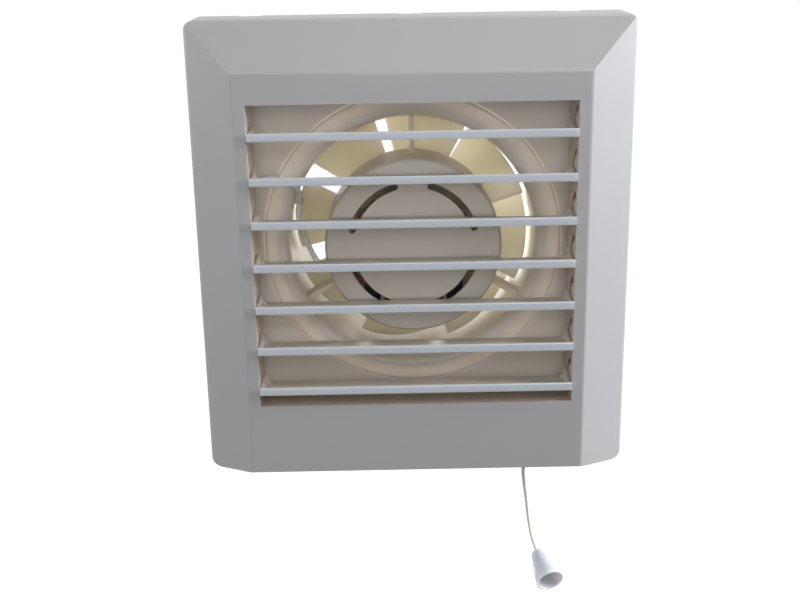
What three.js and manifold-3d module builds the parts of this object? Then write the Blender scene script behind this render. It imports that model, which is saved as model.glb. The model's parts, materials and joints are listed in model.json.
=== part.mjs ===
// Wall or window extractor fan for a 100 mm duct, with a seven-slat shutter worked by a pull cord.
// Millimetres. The wall plane is y = 0, the room is on the -Y side and +Z is up.
// The fan turns about the Y axis, which is the middle of the front panel.
import * as THREE from 'three';
import { mergeVertices } from 'three/addons/utils/BufferGeometryUtils.js';
import Module from 'manifold-3d';

const wasm = await Module();
wasm.setup();

// ---------------------------------------------------------------- sizes
const FIT = 0.3;                 // gap between pieces that seat on each other
const RUNNING = 0.2;             // radial gap round a moulded pin
const SHAFT_RUNNING = 0.08;      // radial gap round the motor shaft in its bearings

// front cover
const PANEL_W = 160;
const PANEL_H = 170;
const COVER_DEPTH = 28;          // wall plane to the flat front face
const COVER_WALL = 2.2;
const COVER_LIFT = 1;            // wall plane to the cover's rear edge
const BEVEL_DEPTH = 8;
const BEVEL_SIDE = 16.8;
const BEVEL_TOP = 18.8;
const CORNER_R = 4;
const FACE_ROUND = 3;            // radius where the face turns into its slopes
const RIM_ROUND = 1.5;           // radius where the slopes turn into the sides
const LOWER_ROUND = 0.5;         // radius of the face's lower edge
const BORDER_TOP = 28.9;         // panel's edges in to the shutter's opening
const BORDER_BOTTOM = 27.4;
const BORDER_SIDE = 21.1;
const JAMB_WALL = 1.6;
const JAMB_DEPTH = 20;           // front face to the rear edge of the walls beside the slats
const NOTCH_W = 8;               // notches in the top wall that the catches show through
const NOTCH_DEPTH = 3;
const NOTCH_X = 58;
const COVER_SCREW_R = 1.5;
const COVER_SCREW_Y = -6.2;

// shutter
const SLAT_COUNT = 7;
const FIRST_LIP = 11.1;          // opening's top edge down to the middle of the first lip
const LAST_LIP = 6.6;            // middle of the last lip down to the opening's bottom edge
const LIP_H = 3;
const LIP_T = 1.3;
const LIP_PROUD = 2;             // how far the lips stand in front of the face
const LIP_TO_PIVOT = 5;          // front of the lip back to the pivot
const BLADE_REACH = 12;          // pivot back to the rear edge
const BLADE_T = 1.2;
const BLADE_DROOP = THREE.MathUtils.degToRad(9);
const SLAT_BEAD_R = 0.9;         // thickened rear edge
const SAIL_TOP = 2.8;            // small upright plates at the ends of the rear edge
const SAIL_BACK = 2.6;           // rear edge forward to their peak
const SAIL_W = 1.8;
const GUSSET_W = 3;
const END_PLATE_T = 1.2;
const PIVOT_R = 1;
const CRANK_REACH = 9;           // pivot to the pin that the link bar drives
const CRANK_PIN_R = 1;
const SHUTTER_TRAVEL = THREE.MathUtils.degToRad(87);
const LINK_W = 4.4;
const LINK_T = 1.6;
const LINK_GAP = 0.6;            // between the jamb and the link bar
const LINK_FOOT = 8;             // the bar's foot reaches back this far to the drive crank

// casing
const PLATE_T = 2.2;
const PLATE_GAP = 0.5;           // cover's inner wall to the casing's rim
const RIM_T = 2;
const RIM_H = 10;
const BORE_R = 47.5;
const DUCT_WALL = 1.5;
const DUCT_LENGTH = 58;
const FLARE_W = 3.1;             // how much wider than the bore the duct's rounded mouth is
const FLARE_REAR = 1.2;          // wall plane back to where the mouth meets the bore
const FLANGE_W = 6.4;            // flat flange round the mouth
const FLANGE_T = 1;
const NECK_STEP = 1.4;           // the duct is this much thicker where it passes through the plate
const SEAT_IN = 10;              // wall screws, in from the panel's sides and its top
const SEAT_DOWN = 11;
const SEAT_BOTTOM = -48;
const SEAT_HOLE_R = 2.2;
const SEAT_SLOT = 6;             // length of the slot between its end centres
const SEAT_BOSS_R = 5;
const SEAT_BOSS_H = 1.2;
const CATCH_H = 1.4;
const CABLE_IN = 14;             // cable's hole, in from the panel's left side and its bottom
const CABLE_RISE = 15;
const CABLE_W = 12;
const CABLE_H = 8;

// motor housing
const POD_R = 33.4;
const POD_WALL = 1.4;
const POD_FRONT = 10.6;          // wall plane forward to the pod's rim
const POD_REAR = 12.8;             // wall plane back to the pod's rear wall
const POD_HOLE_R = 8;
const ARM_T = 1.9;
const ARM_ANGLES = [90, 210, 330];
const ARM_FRONT = 0.5;
const ARM_REAR = 9;
const TAB_STEP = 3.5;            // the tab at an arm's end starts this far behind the arm's front
const GATE_ANGLE = 194.5;        // notch that the motor's lead comes in by, degrees
const GATE_Y = -7;
const COVER_DISC_T = 1.6;
const DISC_LIP = 2.4;
const VENT_R = 23.9;
const VENT_W = 2.6;
const VENT_SPREAD = 28.5;        // half of each vent's arc, degrees

// motor, drawn about the middle of its stack
const MOTOR_Y = 1.7;              // wall plane back to that middle
const CORE_HALF_L = 5;           // half of the stack's thickness
const CORE_HALF_W = 19;
const CORE_TOP = 14;
const CORE_BOTTOM = -24;
const LIMB_W = 6;
const COIL_LEG = 6;
const POLE_DEPTH = 13.2;         // axis down to the underside of the pole pieces
const ROTOR_R = 11.2;
const AIR_GAP = 0.6;
const ROTOR_HALF_L = 6;
const COIL_T = 3.6;
const BOBBIN_FLANGE = 1.4;
const SHAFT_R = 2;
const SHAFT_FRONT = 12;
const SHAFT_REAR = 37.8;
const BEARING_R = 4;
const BEARING_L = 4.4;
const BRACKET_T = 1.2;
const BRACKET_W = 10;
const BRACKET_RISE = 2.4;
const BOSS_R = 5.6;
const BOSS_L = 2.6;
const MOTOR_SCREW_IN = 3.2;      // in from the sides of the stack
const BRACKET_STEP_IN = 7;       // where each bracket rises off the stack
const MOTOR_SCREW_R = 1.5;
const SHADE_Z = [6, 8.2];        // height of the shading rings on the poles
const SHADE_T = 1.3;

// fan wheel
const BLADE_COUNT = 8;
const HUB_R = 21;
const HUB_FRONT = 14;
const HUB_REAR = 33;
const HUB_WALL = 1.8;
const HUB_CORE_R = 5;
const TIP_GAP = 1.3;
const BLADE_ARC = THREE.MathUtils.degToRad(40.5); // seen from the room
const BLADE_DEPTH = 16;
const FAN_BLADE_T = 1.3;
const CAMBER = 0.07;             // of the chord
const BLADE_MID_Y = 22;
const FIRST_BLADE = 38;          // degrees above the horizontal, seen from the room
const NUT_R = 4.5;
const NUT_L = 4;

// pull switch
const SWITCH_IN = 16.1;          // link bar in to the middle of the switch
const SWITCH_W = 24;
const SWITCH_FRONT = 23.4;
const SWITCH_REAR = 3;
const SWITCH_H = 18.8;
const SWITCH_RISE = 5.2;         // panel's bottom up to the switch
const SWITCH_ROOF = 1.6;
const SPINDLE_RISE = 8.2;        // switch's bottom up to the drive crank's spindle
const CORD_IN = 2;               // middle of the switch in to the cord
const CORD_Y = -12.5;
const PLUNGER_W = 5;
const SWITCH_TOWER_W = 11.6;       // the middle stands up between the two ears
const PLUNGER_HEAD = 3;
const PULL_TRAVEL = 7;
const SPRING_R = 2.1;
const SPRING_WIRE_R = 0.3;
const SPRING_TURNS = 6;
const CRANK_T = 2.6;
const CRANK_HUB_R = 3.4;
const SPINDLE_R = 2;
const SPINDLE_L = 6;
const EAR_W = 7;
const EYELET_R = 2.6;
const CORD_D = 1.4;
const BELL_L = 16.6;
const BELL_R = 4.6;
const BELL_TOP_R = 2.1;
const BELL_WALL = 1;
const BELL_HOLLOW = 10.5;        // depth of the hollow from the mouth
const BELL_TOWARDS = new THREE.Vector3(0.29, -0.87, -0.39).normalize();

// terminal block and cable clamp
const BLOCK_X = -30;
const BLOCK_RISE = 14;           // panel's bottom up to the middle of the block
const BLOCK_W = 30;
const BLOCK_H = 10;
const BLOCK_L = 11;
const POLE_COUNT = 3;
const POLE_PITCH = 9.4;
const TERMINAL_R = 2;
const CLAMP_W = 17;
const CLAMP_RISE = 8;            // cable's hole up to the clamp
const CLAMP_SCREW_IN = 3;        // in from the ends of the clamp
const CLAMP_T = 2;
const CLAMP_ARCH = 1.4;
const CLAMP_BAR = 5;
const CLAMP_BOSS_H = 5;
const SMALL_SCREW_R = 1.3;       // clamp and switch screws
const LEAD_D = 2;
const COIL_LEAD_D = 1.2;
const CLIP_L = 1.2;
const CLIP_T = 0.5;

// ---------------------------------------------------------------- places worked out from the sizes
const FACE_Y = -COVER_DEPTH;
const RIM_Y = FACE_Y + BEVEL_DEPTH;
const HALF_W = PANEL_W / 2;
const HALF_H = PANEL_H / 2;
const INNER_FACE_Y = FACE_Y + COVER_WALL;
const OPENING_TOP = HALF_H - BORDER_TOP;
const OPENING_BOTTOM = -HALF_H + BORDER_BOTTOM;
const SLAT_PITCH = (OPENING_TOP - OPENING_BOTTOM - FIRST_LIP - LAST_LIP) / (SLAT_COUNT - 1);
const JAMB_X = HALF_W - BORDER_SIDE;
const JAMB_OUTER = JAMB_X + JAMB_WALL;
const JAMB_REAR = FACE_Y + JAMB_DEPTH;
const SLAT_END = JAMB_X - FIT;
const PIVOT_Y = FACE_Y - LIP_PROUD + LIP_TO_PIVOT;
const LIP_MID = (LIP_TO_PIVOT - LIP_T / 2) * Math.tan(BLADE_DROOP);
const pivotZ = (i) => OPENING_TOP - FIRST_LIP - LIP_MID - i * SLAT_PITCH;
const CRANK_Y = CRANK_REACH * Math.cos(BLADE_DROOP);
const CRANK_Z = -CRANK_REACH * Math.sin(BLADE_DROOP);
const LINK_X = JAMB_OUTER + LINK_GAP;
const PIVOT_END = JAMB_OUTER + FIT;
const CRANK_PIN_END = LINK_X + LINK_T + FIT;
const DRIVE_Y = PIVOT_Y + LINK_FOOT;
const SWITCH_X = LINK_X - SWITCH_IN;
const SWITCH_BOTTOM = -HALF_H + SWITCH_RISE;
const SWITCH_TOP = SWITCH_BOTTOM + SWITCH_H;
const PLUNGER_TOP = SWITCH_TOP - SWITCH_ROOF;
const EAR_X = SWITCH_W / 2 - EAR_W / 2;
const SWITCH_EAR_Z = SWITCH_TOP - EAR_W / 2;
const CORD_X = SWITCH_X - CORD_IN;
const CORD_EXIT = -HALF_H - 0.5;
const EYELET_BORE_R = CORD_D / 2 + FIT;
const DRIVE_Z = SWITCH_BOTTOM + SPINDLE_RISE;
const SEAT_X = HALF_W - SEAT_IN;
const SEAT_TOP = HALF_H - SEAT_DOWN;
const CABLE_X = -HALF_W + CABLE_IN;
const CABLE_Z = -HALF_H + CABLE_RISE;
const CLAMP_Z = CABLE_Z + CLAMP_RISE;
const CLAMP_SCREW_X = CLAMP_W / 2 - CLAMP_SCREW_IN;
const BLOCK_Z = -HALF_H + BLOCK_RISE;
const MOTOR_SCREW_X = CORE_HALF_W - MOTOR_SCREW_IN;
const PLATE_X = HALF_W - COVER_WALL - PLATE_GAP;
const PLATE_Z = HALF_H - COVER_WALL - PLATE_GAP;
const DUCT_R = BORE_R + DUCT_WALL;
const NECK_R = DUCT_R + NECK_STEP;
const FLARE_R = BORE_R + FLARE_W;
const FLANGE_R = FLARE_R + FLANGE_W;
const FLARE_FRONT = PLATE_T + FIT + FLANGE_T;
const POD_INNER = POD_R - POD_WALL;
const BRACKET_FOOT = CORE_HALF_L + FIT;
const BRACKET_BRIDGE = BRACKET_FOOT + BRACKET_RISE;
const TIP_R = BORE_R - TIP_GAP;
const BLOCK_FRONT = PLATE_T + FIT + BLOCK_L;
const LEAD_X = -JAMB_OUTER - 2;
const LEAD_Y = -FLARE_FRONT - FIT - LEAD_D / 2;
const IN_MOTOR = [0, MOTOR_Y, 0];
const COIL_END = CORE_HALF_W - LIMB_W - FIT;
const COIL_MID_Z = CORE_BOTTOM + COIL_LEG / 2;

// ---------------------------------------------------------------- solids
// Turns a closed geometry into a solid, whichever way round its faces were drawn.
function solid(geometry) {
  const bare = geometry.clone();
  bare.deleteAttribute('normal');
  bare.deleteAttribute('uv');
  const merged = mergeVertices(bare, 1e-4);
  const vertProperties = new Float32Array(merged.attributes.position.array);
  const triVerts = new Uint32Array(merged.index.array);
  if (signedVolume(vertProperties, triVerts) < 0) {
    triVerts.reverse();
  }
  return new wasm.Manifold(new wasm.Mesh({ numProp: 3, vertProperties, triVerts }));
}

function signedVolume(points, corners) {
  const a = new THREE.Vector3();
  const b = new THREE.Vector3();
  const c = new THREE.Vector3();
  let total = 0;
  for (let i = 0; i < corners.length; i += 3) {
    a.fromArray(points, corners[i] * 3);
    b.fromArray(points, corners[i + 1] * 3);
    c.fromArray(points, corners[i + 2] * 3);
    total += a.dot(b.cross(c));
  }
  return total;
}

const join = (first, ...others) => others.reduce((whole, piece) => whole.add(piece), first);
const cut = (first, ...others) => others.reduce((whole, piece) => whole.subtract(piece), first);

function box([x0, x1], [y0, y1], [z0, z1]) {
  const block = new THREE.BoxGeometry(x1 - x0, y1 - y0, z1 - z0);
  block.translate((x0 + x1) / 2, (y0 + y1) / 2, (z0 + z1) / 2);
  return solid(block);
}

// Extrudes an outline along one axis. The outline is drawn in (y, z) for X, (x, z) for Y and (x, y) for Z.
const EXTRUDE_AXES = {
  x: new THREE.Matrix4().set(0, 0, 1, 0, 1, 0, 0, 0, 0, 1, 0, 0, 0, 0, 0, 1),
  y: new THREE.Matrix4().set(1, 0, 0, 0, 0, 0, -1, 0, 0, 1, 0, 0, 0, 0, 0, 1),
  z: new THREE.Matrix4(),
};

function prism(axis, outline, [from, to], curveSegments = 8) {
  const shape = outline instanceof THREE.Shape ? outline : polygon(outline);
  const geometry = new THREE.ExtrudeGeometry(shape, { depth: to - from, bevelEnabled: false, curveSegments });
  geometry.applyMatrix4(EXTRUDE_AXES[axis]);
  const start = axis === 'y' ? to : from;
  geometry.translate(axis === 'x' ? start : 0, axis === 'y' ? start : 0, axis === 'z' ? start : 0);
  return solid(geometry);
}

const polygon = (points) => new THREE.Shape(points.map(([u, v]) => new THREE.Vector2(u, v)));

function disc(u, v, radius) {
  const shape = new THREE.Shape();
  shape.absarc(u, v, radius, 0, Math.PI * 2, false);
  return shape;
}

// A round bar along an axis. segments is the number of its sides.
function bar(axis, u, v, radius, span, segments = 20) {
  return prism(axis, disc(u, v, radius), span, segments / 2);
}

// Revolves a closed (radius, y) profile about the fan's axis.
function turned(profile, segments = 48) {
  const points = profile.map(([r, y]) => new THREE.Vector2(r, y));
  const closed = profile[0][0] > 0 || profile.at(-1)[0] > 0;
  if (closed) {
    points.push(points[0].clone());
  }
  return solid(new THREE.LatheGeometry(points, segments));
}

function roundedRectangle(x0, x1, y0, y1, radius) {
  const shape = new THREE.Shape();
  shape.absarc(x1 - radius, y1 - radius, radius, 0, Math.PI / 2, false);
  shape.absarc(x0 + radius, y1 - radius, radius, Math.PI / 2, Math.PI, false);
  shape.absarc(x0 + radius, y0 + radius, radius, Math.PI, Math.PI * 1.5, false);
  shape.absarc(x1 - radius, y0 + radius, radius, Math.PI * 1.5, Math.PI * 2, false);
  return shape;
}

// A slot with round ends along an arc, in degrees.
function arcSlot(u, v, radius, width, from, to) {
  const start = THREE.MathUtils.degToRad(from);
  const end = THREE.MathUtils.degToRad(to);
  const half = width / 2;
  const shape = new THREE.Shape();
  shape.absarc(u, v, radius + half, start, end, false);
  shape.absarc(u + radius * Math.cos(end), v + radius * Math.sin(end), half, end, end + Math.PI, false);
  shape.absarc(u, v, radius - half, end, start, true);
  shape.absarc(u + radius * Math.cos(start), v + radius * Math.sin(start), half, start + Math.PI,
    start + Math.PI * 2, false);
  return shape;
}

// Moves each side of a convex outline, drawn anticlockwise, inwards by its own distance.
function inset(points, distances) {
  const lines = points.map(([u, v], i) => {
    const [nu, nv] = points[(i + 1) % points.length];
    const length = Math.hypot(nu - u, nv - v);
    const normal = [-(nv - v) / length, (nu - u) / length];
    return [...normal, normal[0] * u + normal[1] * v + distances[i]];
  });
  return lines.map(([a, b, c], i) => {
    const [p, q, r] = lines[(i + lines.length - 1) % lines.length];
    const det = a * q - b * p;
    return [(c * q - b * r) / det, (a * r - c * p) / det];
  });
}

// Rounds each corner of an outline, drawn anticlockwise, by its own radius.
function rounded(points, radii, segments = 4) {
  return points.flatMap((point, i) => {
    if (!(radii[i] > 0)) {
      return [point];
    }
    const corner = new THREE.Vector2(...point);
    const before = new THREE.Vector2(...points[(i + points.length - 1) % points.length]).sub(corner).normalize();
    const after = new THREE.Vector2(...points[(i + 1) % points.length]).sub(corner).normalize();
    const half = Math.acos(THREE.MathUtils.clamp(before.dot(after), -1, 1)) / 2;
    const centre = before.clone().add(after).normalize().multiplyScalar(radii[i] / Math.sin(half)).add(corner);
    const start = before.multiplyScalar(radii[i] / Math.tan(half)).add(corner).sub(centre);
    const sweep = Math.PI - 2 * half;
    return Array.from({ length: segments + 1 }, (_, k) => start.clone()
      .rotateAround(new THREE.Vector2(), (k / segments) * sweep).add(centre).toArray());
  });
}

// A tube of eight sides along a smooth curve through the points.
function tube(points, diameter, steps, sides = 8) {
  const curve = new THREE.CatmullRomCurve3(points.map((p) => new THREE.Vector3(...p)), false, 'centripetal');
  const section = new THREE.Shape();
  for (let i = 0; i < sides; i += 1) {
    const angle = (i / sides) * Math.PI * 2;
    section[i ? 'lineTo' : 'moveTo'](Math.cos(angle) * diameter / 2, Math.sin(angle) * diameter / 2);
  }
  const geometry = new THREE.ExtrudeGeometry(section, { steps, extrudePath: curve, bevelEnabled: false });
  return solid(geometry);
}

const turnY = (piece, degrees) => piece.rotate([0, -degrees, 0]);

// ---------------------------------------------------------------- materials and nodes
const PLASTICS = {
  abs_white: ['#e6e6e4', 0.38, 0],
  abs_bright: ['#f0f0f2', 0.3, 0],
  abs_ivory: ['#dcd3bf', 0.42, 0],
  nylon_white: ['#e2e2de', 0.5, 0],
  nylon_black: ['#2b2a28', 0.55, 0],
  bakelite: ['#d8d2c4', 0.45, 0],
};
const METALS = {
  steel: ['#b9bcc0', 0.32, 1],
  lamination: ['#6f7276', 0.45, 1],
  brass: ['#c2a35a', 0.3, 1],
  copper: ['#b4633c', 0.35, 1],
  bronze: ['#9c7a48', 0.4, 1],
};
const SOFT = {
  pvc_white: ['#e8e8e6', 0.45, 0],
  pvc_red: ['#a8302a', 0.45, 0],
  cord_white: ['#eceae4', 0.8, 0],
};
const FINISHES = { ...PLASTICS, ...METALS, ...SOFT };

const fan = new THREE.Group();

function add(name, piece, finish, position = [0, 0, 0]) {
  const { vertProperties, triVerts } = piece.getMesh();
  const geometry = new THREE.BufferGeometry();
  geometry.setAttribute('position', new THREE.BufferAttribute(new Float32Array(vertProperties), 3));
  geometry.setIndex(new THREE.BufferAttribute(new Uint32Array(triVerts), 1));
  geometry.computeVertexNormals();
  const [color, roughness, metalness] = FINISHES[finish];
  const mesh = new THREE.Mesh(geometry, new THREE.MeshStandardMaterial({ color, roughness, metalness }));
  mesh.name = name;
  mesh.position.set(...position);
  fan.add(mesh);
  return mesh;
}

// ---------------------------------------------------------------- front cover
// Seen from above the cover is a shallow tray with sloping sides, and seen from the side only its top
// slopes. The three shapes crossed give the mitred corners.
function coverBody(wall) {
  const open = -10 * Math.sign(wall);
  const rim = RIM_ROUND - wall;
  const face = FACE_ROUND - wall;
  const plan = rounded(inset([
    [HALF_W, -COVER_LIFT], [-HALF_W, -COVER_LIFT], [-HALF_W, RIM_Y],
    [-HALF_W + BEVEL_SIDE, FACE_Y], [HALF_W - BEVEL_SIDE, FACE_Y], [HALF_W, RIM_Y],
  ], [open, wall, wall, wall, wall, wall]), [0, 0, rim, face, face, rim]);
  const side = rounded(inset([
    [-COVER_LIFT, -HALF_H], [-COVER_LIFT, HALF_H], [RIM_Y, HALF_H],
    [FACE_Y, HALF_H - BEVEL_TOP], [FACE_Y, -HALF_H],
  ], [open, wall, wall, wall, wall]), [0, 0, rim, face, LOWER_ROUND - wall]);
  const front = roundedRectangle(-HALF_W + wall, HALF_W - wall, -HALF_H + wall, HALF_H - wall, CORNER_R - wall);
  return prism('z', plan, [-HALF_H - 1, HALF_H + 1])
    .intersect(prism('x', side, [-HALF_W - 1, HALF_W + 1]))
    .intersect(prism('y', front, [FACE_Y - 1, COVER_DEPTH], 6));
}

function frontCover() {
  const opening = box([-JAMB_X, JAMB_X], [FACE_Y - 1, 0], [OPENING_BOTTOM, OPENING_TOP]);
  let cover = coverBody(0).subtract(coverBody(COVER_WALL));
  const jambSpan = [OPENING_BOTTOM - JAMB_WALL, OPENING_TOP + JAMB_WALL];
  for (const side of [-1, 1]) {
    const x = [side * JAMB_X, side * JAMB_OUTER].sort((a, b) => a - b);
    cover = cover.add(box(x, [FACE_Y + COVER_WALL / 2, JAMB_REAR], jambSpan));
  }
  cover = cover.add(box([-JAMB_OUTER, JAMB_OUTER], [FACE_Y + COVER_WALL / 2, JAMB_REAR],
    [OPENING_BOTTOM - JAMB_WALL, OPENING_BOTTOM])).subtract(opening);
  const cranksAt = THREE.MathUtils.radToDeg(-BLADE_DROOP);
  const cranksTo = THREE.MathUtils.radToDeg(SHUTTER_TRAVEL - BLADE_DROOP);
  for (let i = 0; i < SLAT_COUNT; i += 1) {
    const z = pivotZ(i);
    cover = cover.subtract(bar('x', PIVOT_Y, z, PIVOT_R + RUNNING, [-JAMB_OUTER - 1, JAMB_OUTER + 1], 8));
    const way = arcSlot(PIVOT_Y, z, CRANK_REACH, 2 * (CRANK_PIN_R + FIT), cranksAt, cranksTo);
    cover = cover.subtract(prism('x', way, [JAMB_X - 1, JAMB_OUTER + 1], 4));
  }
  for (const x of [-NOTCH_X, 0, NOTCH_X]) {
    cover = cover.subtract(box([x - NOTCH_W / 2, x + NOTCH_W / 2],
      [-COVER_LIFT - NOTCH_DEPTH, 1], [HALF_H - COVER_WALL - 1, HALF_H + 1]));
  }
  const cordSlot = box([CORD_X - EYELET_R - FIT, CORD_X + EYELET_R + FIT], [CORD_Y, 1],
    [-HALF_H - 1, -HALF_H + COVER_WALL + 0.5]);
  const cordRound = bar('z', CORD_X, CORD_Y, EYELET_R + FIT, [-HALF_H - 1, -HALF_H + COVER_WALL + 0.5], 16);
  const screwHole = bar('z', 0, COVER_SCREW_Y, COVER_SCREW_R + FIT,
    [-HALF_H - 1, -HALF_H + COVER_WALL + 0.5], 16);
  return cut(cover, cordSlot, cordRound, screwHole);
}

add('front_cover', frontCover(), 'abs_white');

// ---------------------------------------------------------------- shutter
// Each slat is drawn about its pivot: y runs back into the wall and z runs up.
function slat() {
  const along = (y) => -y * Math.tan(BLADE_DROOP);
  const lip = prism('x', roundedRectangle(-LIP_TO_PIVOT, -LIP_TO_PIVOT + LIP_T, LIP_MID - LIP_H / 2,
    LIP_MID + LIP_H / 2, LIP_T * 0.3), [-SLAT_END, SLAT_END], 1);
  const rear = BLADE_REACH * Math.cos(BLADE_DROOP);
  const start = -LIP_TO_PIVOT + LIP_T / 2;
  const half = BLADE_T / 2 / Math.cos(BLADE_DROOP);
  const blade = prism('x', [
    [start, along(start) - half], [rear - SLAT_BEAD_R, along(rear - SLAT_BEAD_R) - half],
    [rear - SLAT_BEAD_R, along(rear - SLAT_BEAD_R) + half], [start, along(start) + half],
  ], [-SLAT_END, SLAT_END]);
  const bead = bar('x', rear - SLAT_BEAD_R, along(rear - SLAT_BEAD_R), SLAT_BEAD_R, [-SLAT_END, SLAT_END], 6);
  const sail = [[start, along(start)], [rear - 1, along(rear - 1)], [rear - SAIL_BACK, SAIL_TOP],
    [rear - SAIL_BACK - SAIL_W, SAIL_TOP]];
  const under = [[-PIVOT_R - 1, 0], [-1, -PIVOT_R - 0.8], [1, -PIVOT_R - 0.8], [PIVOT_R + 1.6, 0]];
  const gusset = (side) => prism('y', [
    [side * SLAT_END, along(rear) / 2], [side * SLAT_END, SAIL_TOP - 0.2],
    [side * (SLAT_END - GUSSET_W), along(rear) / 2],
  ], [rear - SAIL_BACK - SAIL_W, rear - SAIL_BACK - 0.6]);
  const plates = [[-SLAT_END, -SLAT_END + END_PLATE_T], [SLAT_END - END_PLATE_T, SLAT_END]];
  return join(lip, blade, bead, gusset(-1), gusset(1), ...plates.map((span) => prism('x', sail, span)),
    ...plates.map((span) => prism('x', under, span)),
    bar('x', 0, 0, PIVOT_R, [-PIVOT_END, -SLAT_END + END_PLATE_T / 2], 8),
    bar('x', 0, 0, PIVOT_R, [SLAT_END - END_PLATE_T / 2, PIVOT_END], 8),
    bar('x', CRANK_Y, CRANK_Z, CRANK_PIN_R, [SLAT_END - END_PLATE_T / 2, CRANK_PIN_END], 8));
}

const slatSolid = slat();
for (let i = 0; i < SLAT_COUNT; i += 1) {
  add(`slat_${i + 1}`, slatSolid, 'abs_bright', [0, PIVOT_Y, pivotZ(i)]);
}

// The link bar ties every slat's crank pin to the drive crank, so that all of them turn alike.
function linkBar() {
  const y = PIVOT_Y + CRANK_Y;
  const top = pivotZ(0) + CRANK_Z + LINK_W / 2;
  const foot = DRIVE_Z + CRANK_Z;
  const x = [LINK_X, LINK_X + LINK_T];
  const half = LINK_W / 2;
  let link = join(
    prism('x', roundedRectangle(y - half, y + half, foot - half, top, 1.2), x, 3),
    prism('x', roundedRectangle(y - half, y + LINK_FOOT + half, foot - half, foot + half, 1.2), x, 3),
  );
  for (let i = 0; i < SLAT_COUNT; i += 1) {
    link = link.subtract(bar('x', y, pivotZ(i) + CRANK_Z, CRANK_PIN_R + FIT, [LINK_X - 1, LINK_X + LINK_T + 1], 8));
  }
  return link.subtract(bar('x', y + LINK_FOOT, foot, CRANK_PIN_R + FIT, [LINK_X - 1, LINK_X + LINK_T + 1], 12));
}
add('link_bar', linkBar(), 'nylon_white');

// The drive crank's spindle runs into the pull switch, and its pin drives the link bar's foot.
function driveCrank() {
  const pinY = DRIVE_Y + CRANK_Y;
  const pinZ = DRIVE_Z + CRANK_Z;
  const x = [LINK_X - FIT - CRANK_T, LINK_X - FIT];
  const arm = prism('x', [
    [DRIVE_Y, DRIVE_Z - CRANK_HUB_R], [pinY, pinZ - 2], [pinY, pinZ + 2], [DRIVE_Y, DRIVE_Z + CRANK_HUB_R],
  ], x);
  return join(bar('x', DRIVE_Y, DRIVE_Z, CRANK_HUB_R, x, 24), arm, bar('x', pinY, pinZ, 2, x, 16),
    bar('x', DRIVE_Y, DRIVE_Z, SPINDLE_R, [x[0] - SPINDLE_L, x[0] + 1], 16),
    bar('x', pinY, pinZ, CRANK_PIN_R, [x[1] - 1, CRANK_PIN_END], 10));
}
add('shutter_crank', driveCrank(), 'nylon_white');

// ---------------------------------------------------------------- casing and duct
function casing() {
  const plan = roundedRectangle(-PLATE_X, PLATE_X, -PLATE_Z, PLATE_Z, 2);
  const inner = roundedRectangle(-PLATE_X + RIM_T, PLATE_X - RIM_T, -PLATE_Z + RIM_T, PLATE_Z - RIM_T, 1);
  let tray = prism('y', plan, [-RIM_H, 0], 4).subtract(prism('y', inner, [-RIM_H - 1, -PLATE_T], 4));
  tray = tray.subtract(bar('y', 0, 0, NECK_R + FIT, [-PLATE_T - 1, 1], 60));
  for (const x of [-NOTCH_X, 0, NOTCH_X]) {
    const tab = [x - NOTCH_W / 2 + FIT, x + NOTCH_W / 2 - FIT];
    tray = tray.add(box(tab, [-COVER_LIFT - NOTCH_DEPTH + FIT, -COVER_LIFT],
      [PLATE_Z - 1, HALF_H - COVER_WALL + CATCH_H]));
  }
  for (const x of [-SEAT_X, SEAT_X]) {
    for (const z of [SEAT_TOP, SEAT_BOTTOM]) {
      const boss = roundedRectangle(x - SEAT_BOSS_R, x + SEAT_BOSS_R, z - SEAT_BOSS_R - SEAT_SLOT / 2,
        z + SEAT_BOSS_R + SEAT_SLOT / 2, SEAT_BOSS_R - 0.2);
      const slot = roundedRectangle(x - SEAT_HOLE_R, x + SEAT_HOLE_R, z - SEAT_HOLE_R - SEAT_SLOT / 2,
        z + SEAT_HOLE_R + SEAT_SLOT / 2, SEAT_HOLE_R - 0.1);
      tray = tray.add(prism('y', boss, [-PLATE_T - SEAT_BOSS_H, -PLATE_T / 2], 4));
      tray = tray.subtract(prism('y', slot, [-RIM_H, 1], 4));
    }
  }
  tray = tray.subtract(prism('y', roundedRectangle(CABLE_X - CABLE_W / 2, CABLE_X + CABLE_W / 2,
    CABLE_Z - CABLE_H / 2, CABLE_Z + CABLE_H / 2, 2), [-RIM_H, 1], 3));
  for (const side of [-1, 1]) {
    const x = CABLE_X + side * CLAMP_SCREW_X;
    tray = tray.add(bar('y', x, CLAMP_Z, 2.8, [-PLATE_T - CLAMP_BOSS_H, -PLATE_T / 2], 12))
      .subtract(bar('y', x, CLAMP_Z, SMALL_SCREW_R + FIT, [-PLATE_T - CLAMP_BOSS_H - 1, -PLATE_T - 0.4], 10));
    tray = tray.subtract(bar('y', SWITCH_X + side * EAR_X, SWITCH_EAR_Z, SMALL_SCREW_R + FIT,
      [-PLATE_T - 1, 1], 10));
  }
  const boss = box([-4, 4], [COVER_SCREW_Y - 3.4, -PLATE_T / 2], [-PLATE_Z, -PLATE_Z + 7])
    .subtract(bar('z', 0, COVER_SCREW_Y, COVER_SCREW_R + FIT, [-PLATE_Z - 1, -PLATE_Z + 5.5], 12));
  tray = tray.subtract(bar('z', 0, COVER_SCREW_Y, COVER_SCREW_R + FIT, [-PLATE_Z - 1, -PLATE_Z + 4], 12));
  tray = tray.subtract(box([-4, 4], [COVER_SCREW_Y - 3.4, COVER_SCREW_Y + 3.4], [-PLATE_Z - 1, -PLATE_Z + 6.9]));
  tray = tray.add(boss);
  const cordWay = box([CORD_X - EYELET_R - 1, CORD_X + EYELET_R + 1], [-RIM_H - 1, -PLATE_T],
    [-PLATE_Z - 1, -PLATE_Z + RIM_T + 1]);
  return cut(tray, cordWay);
}

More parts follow.
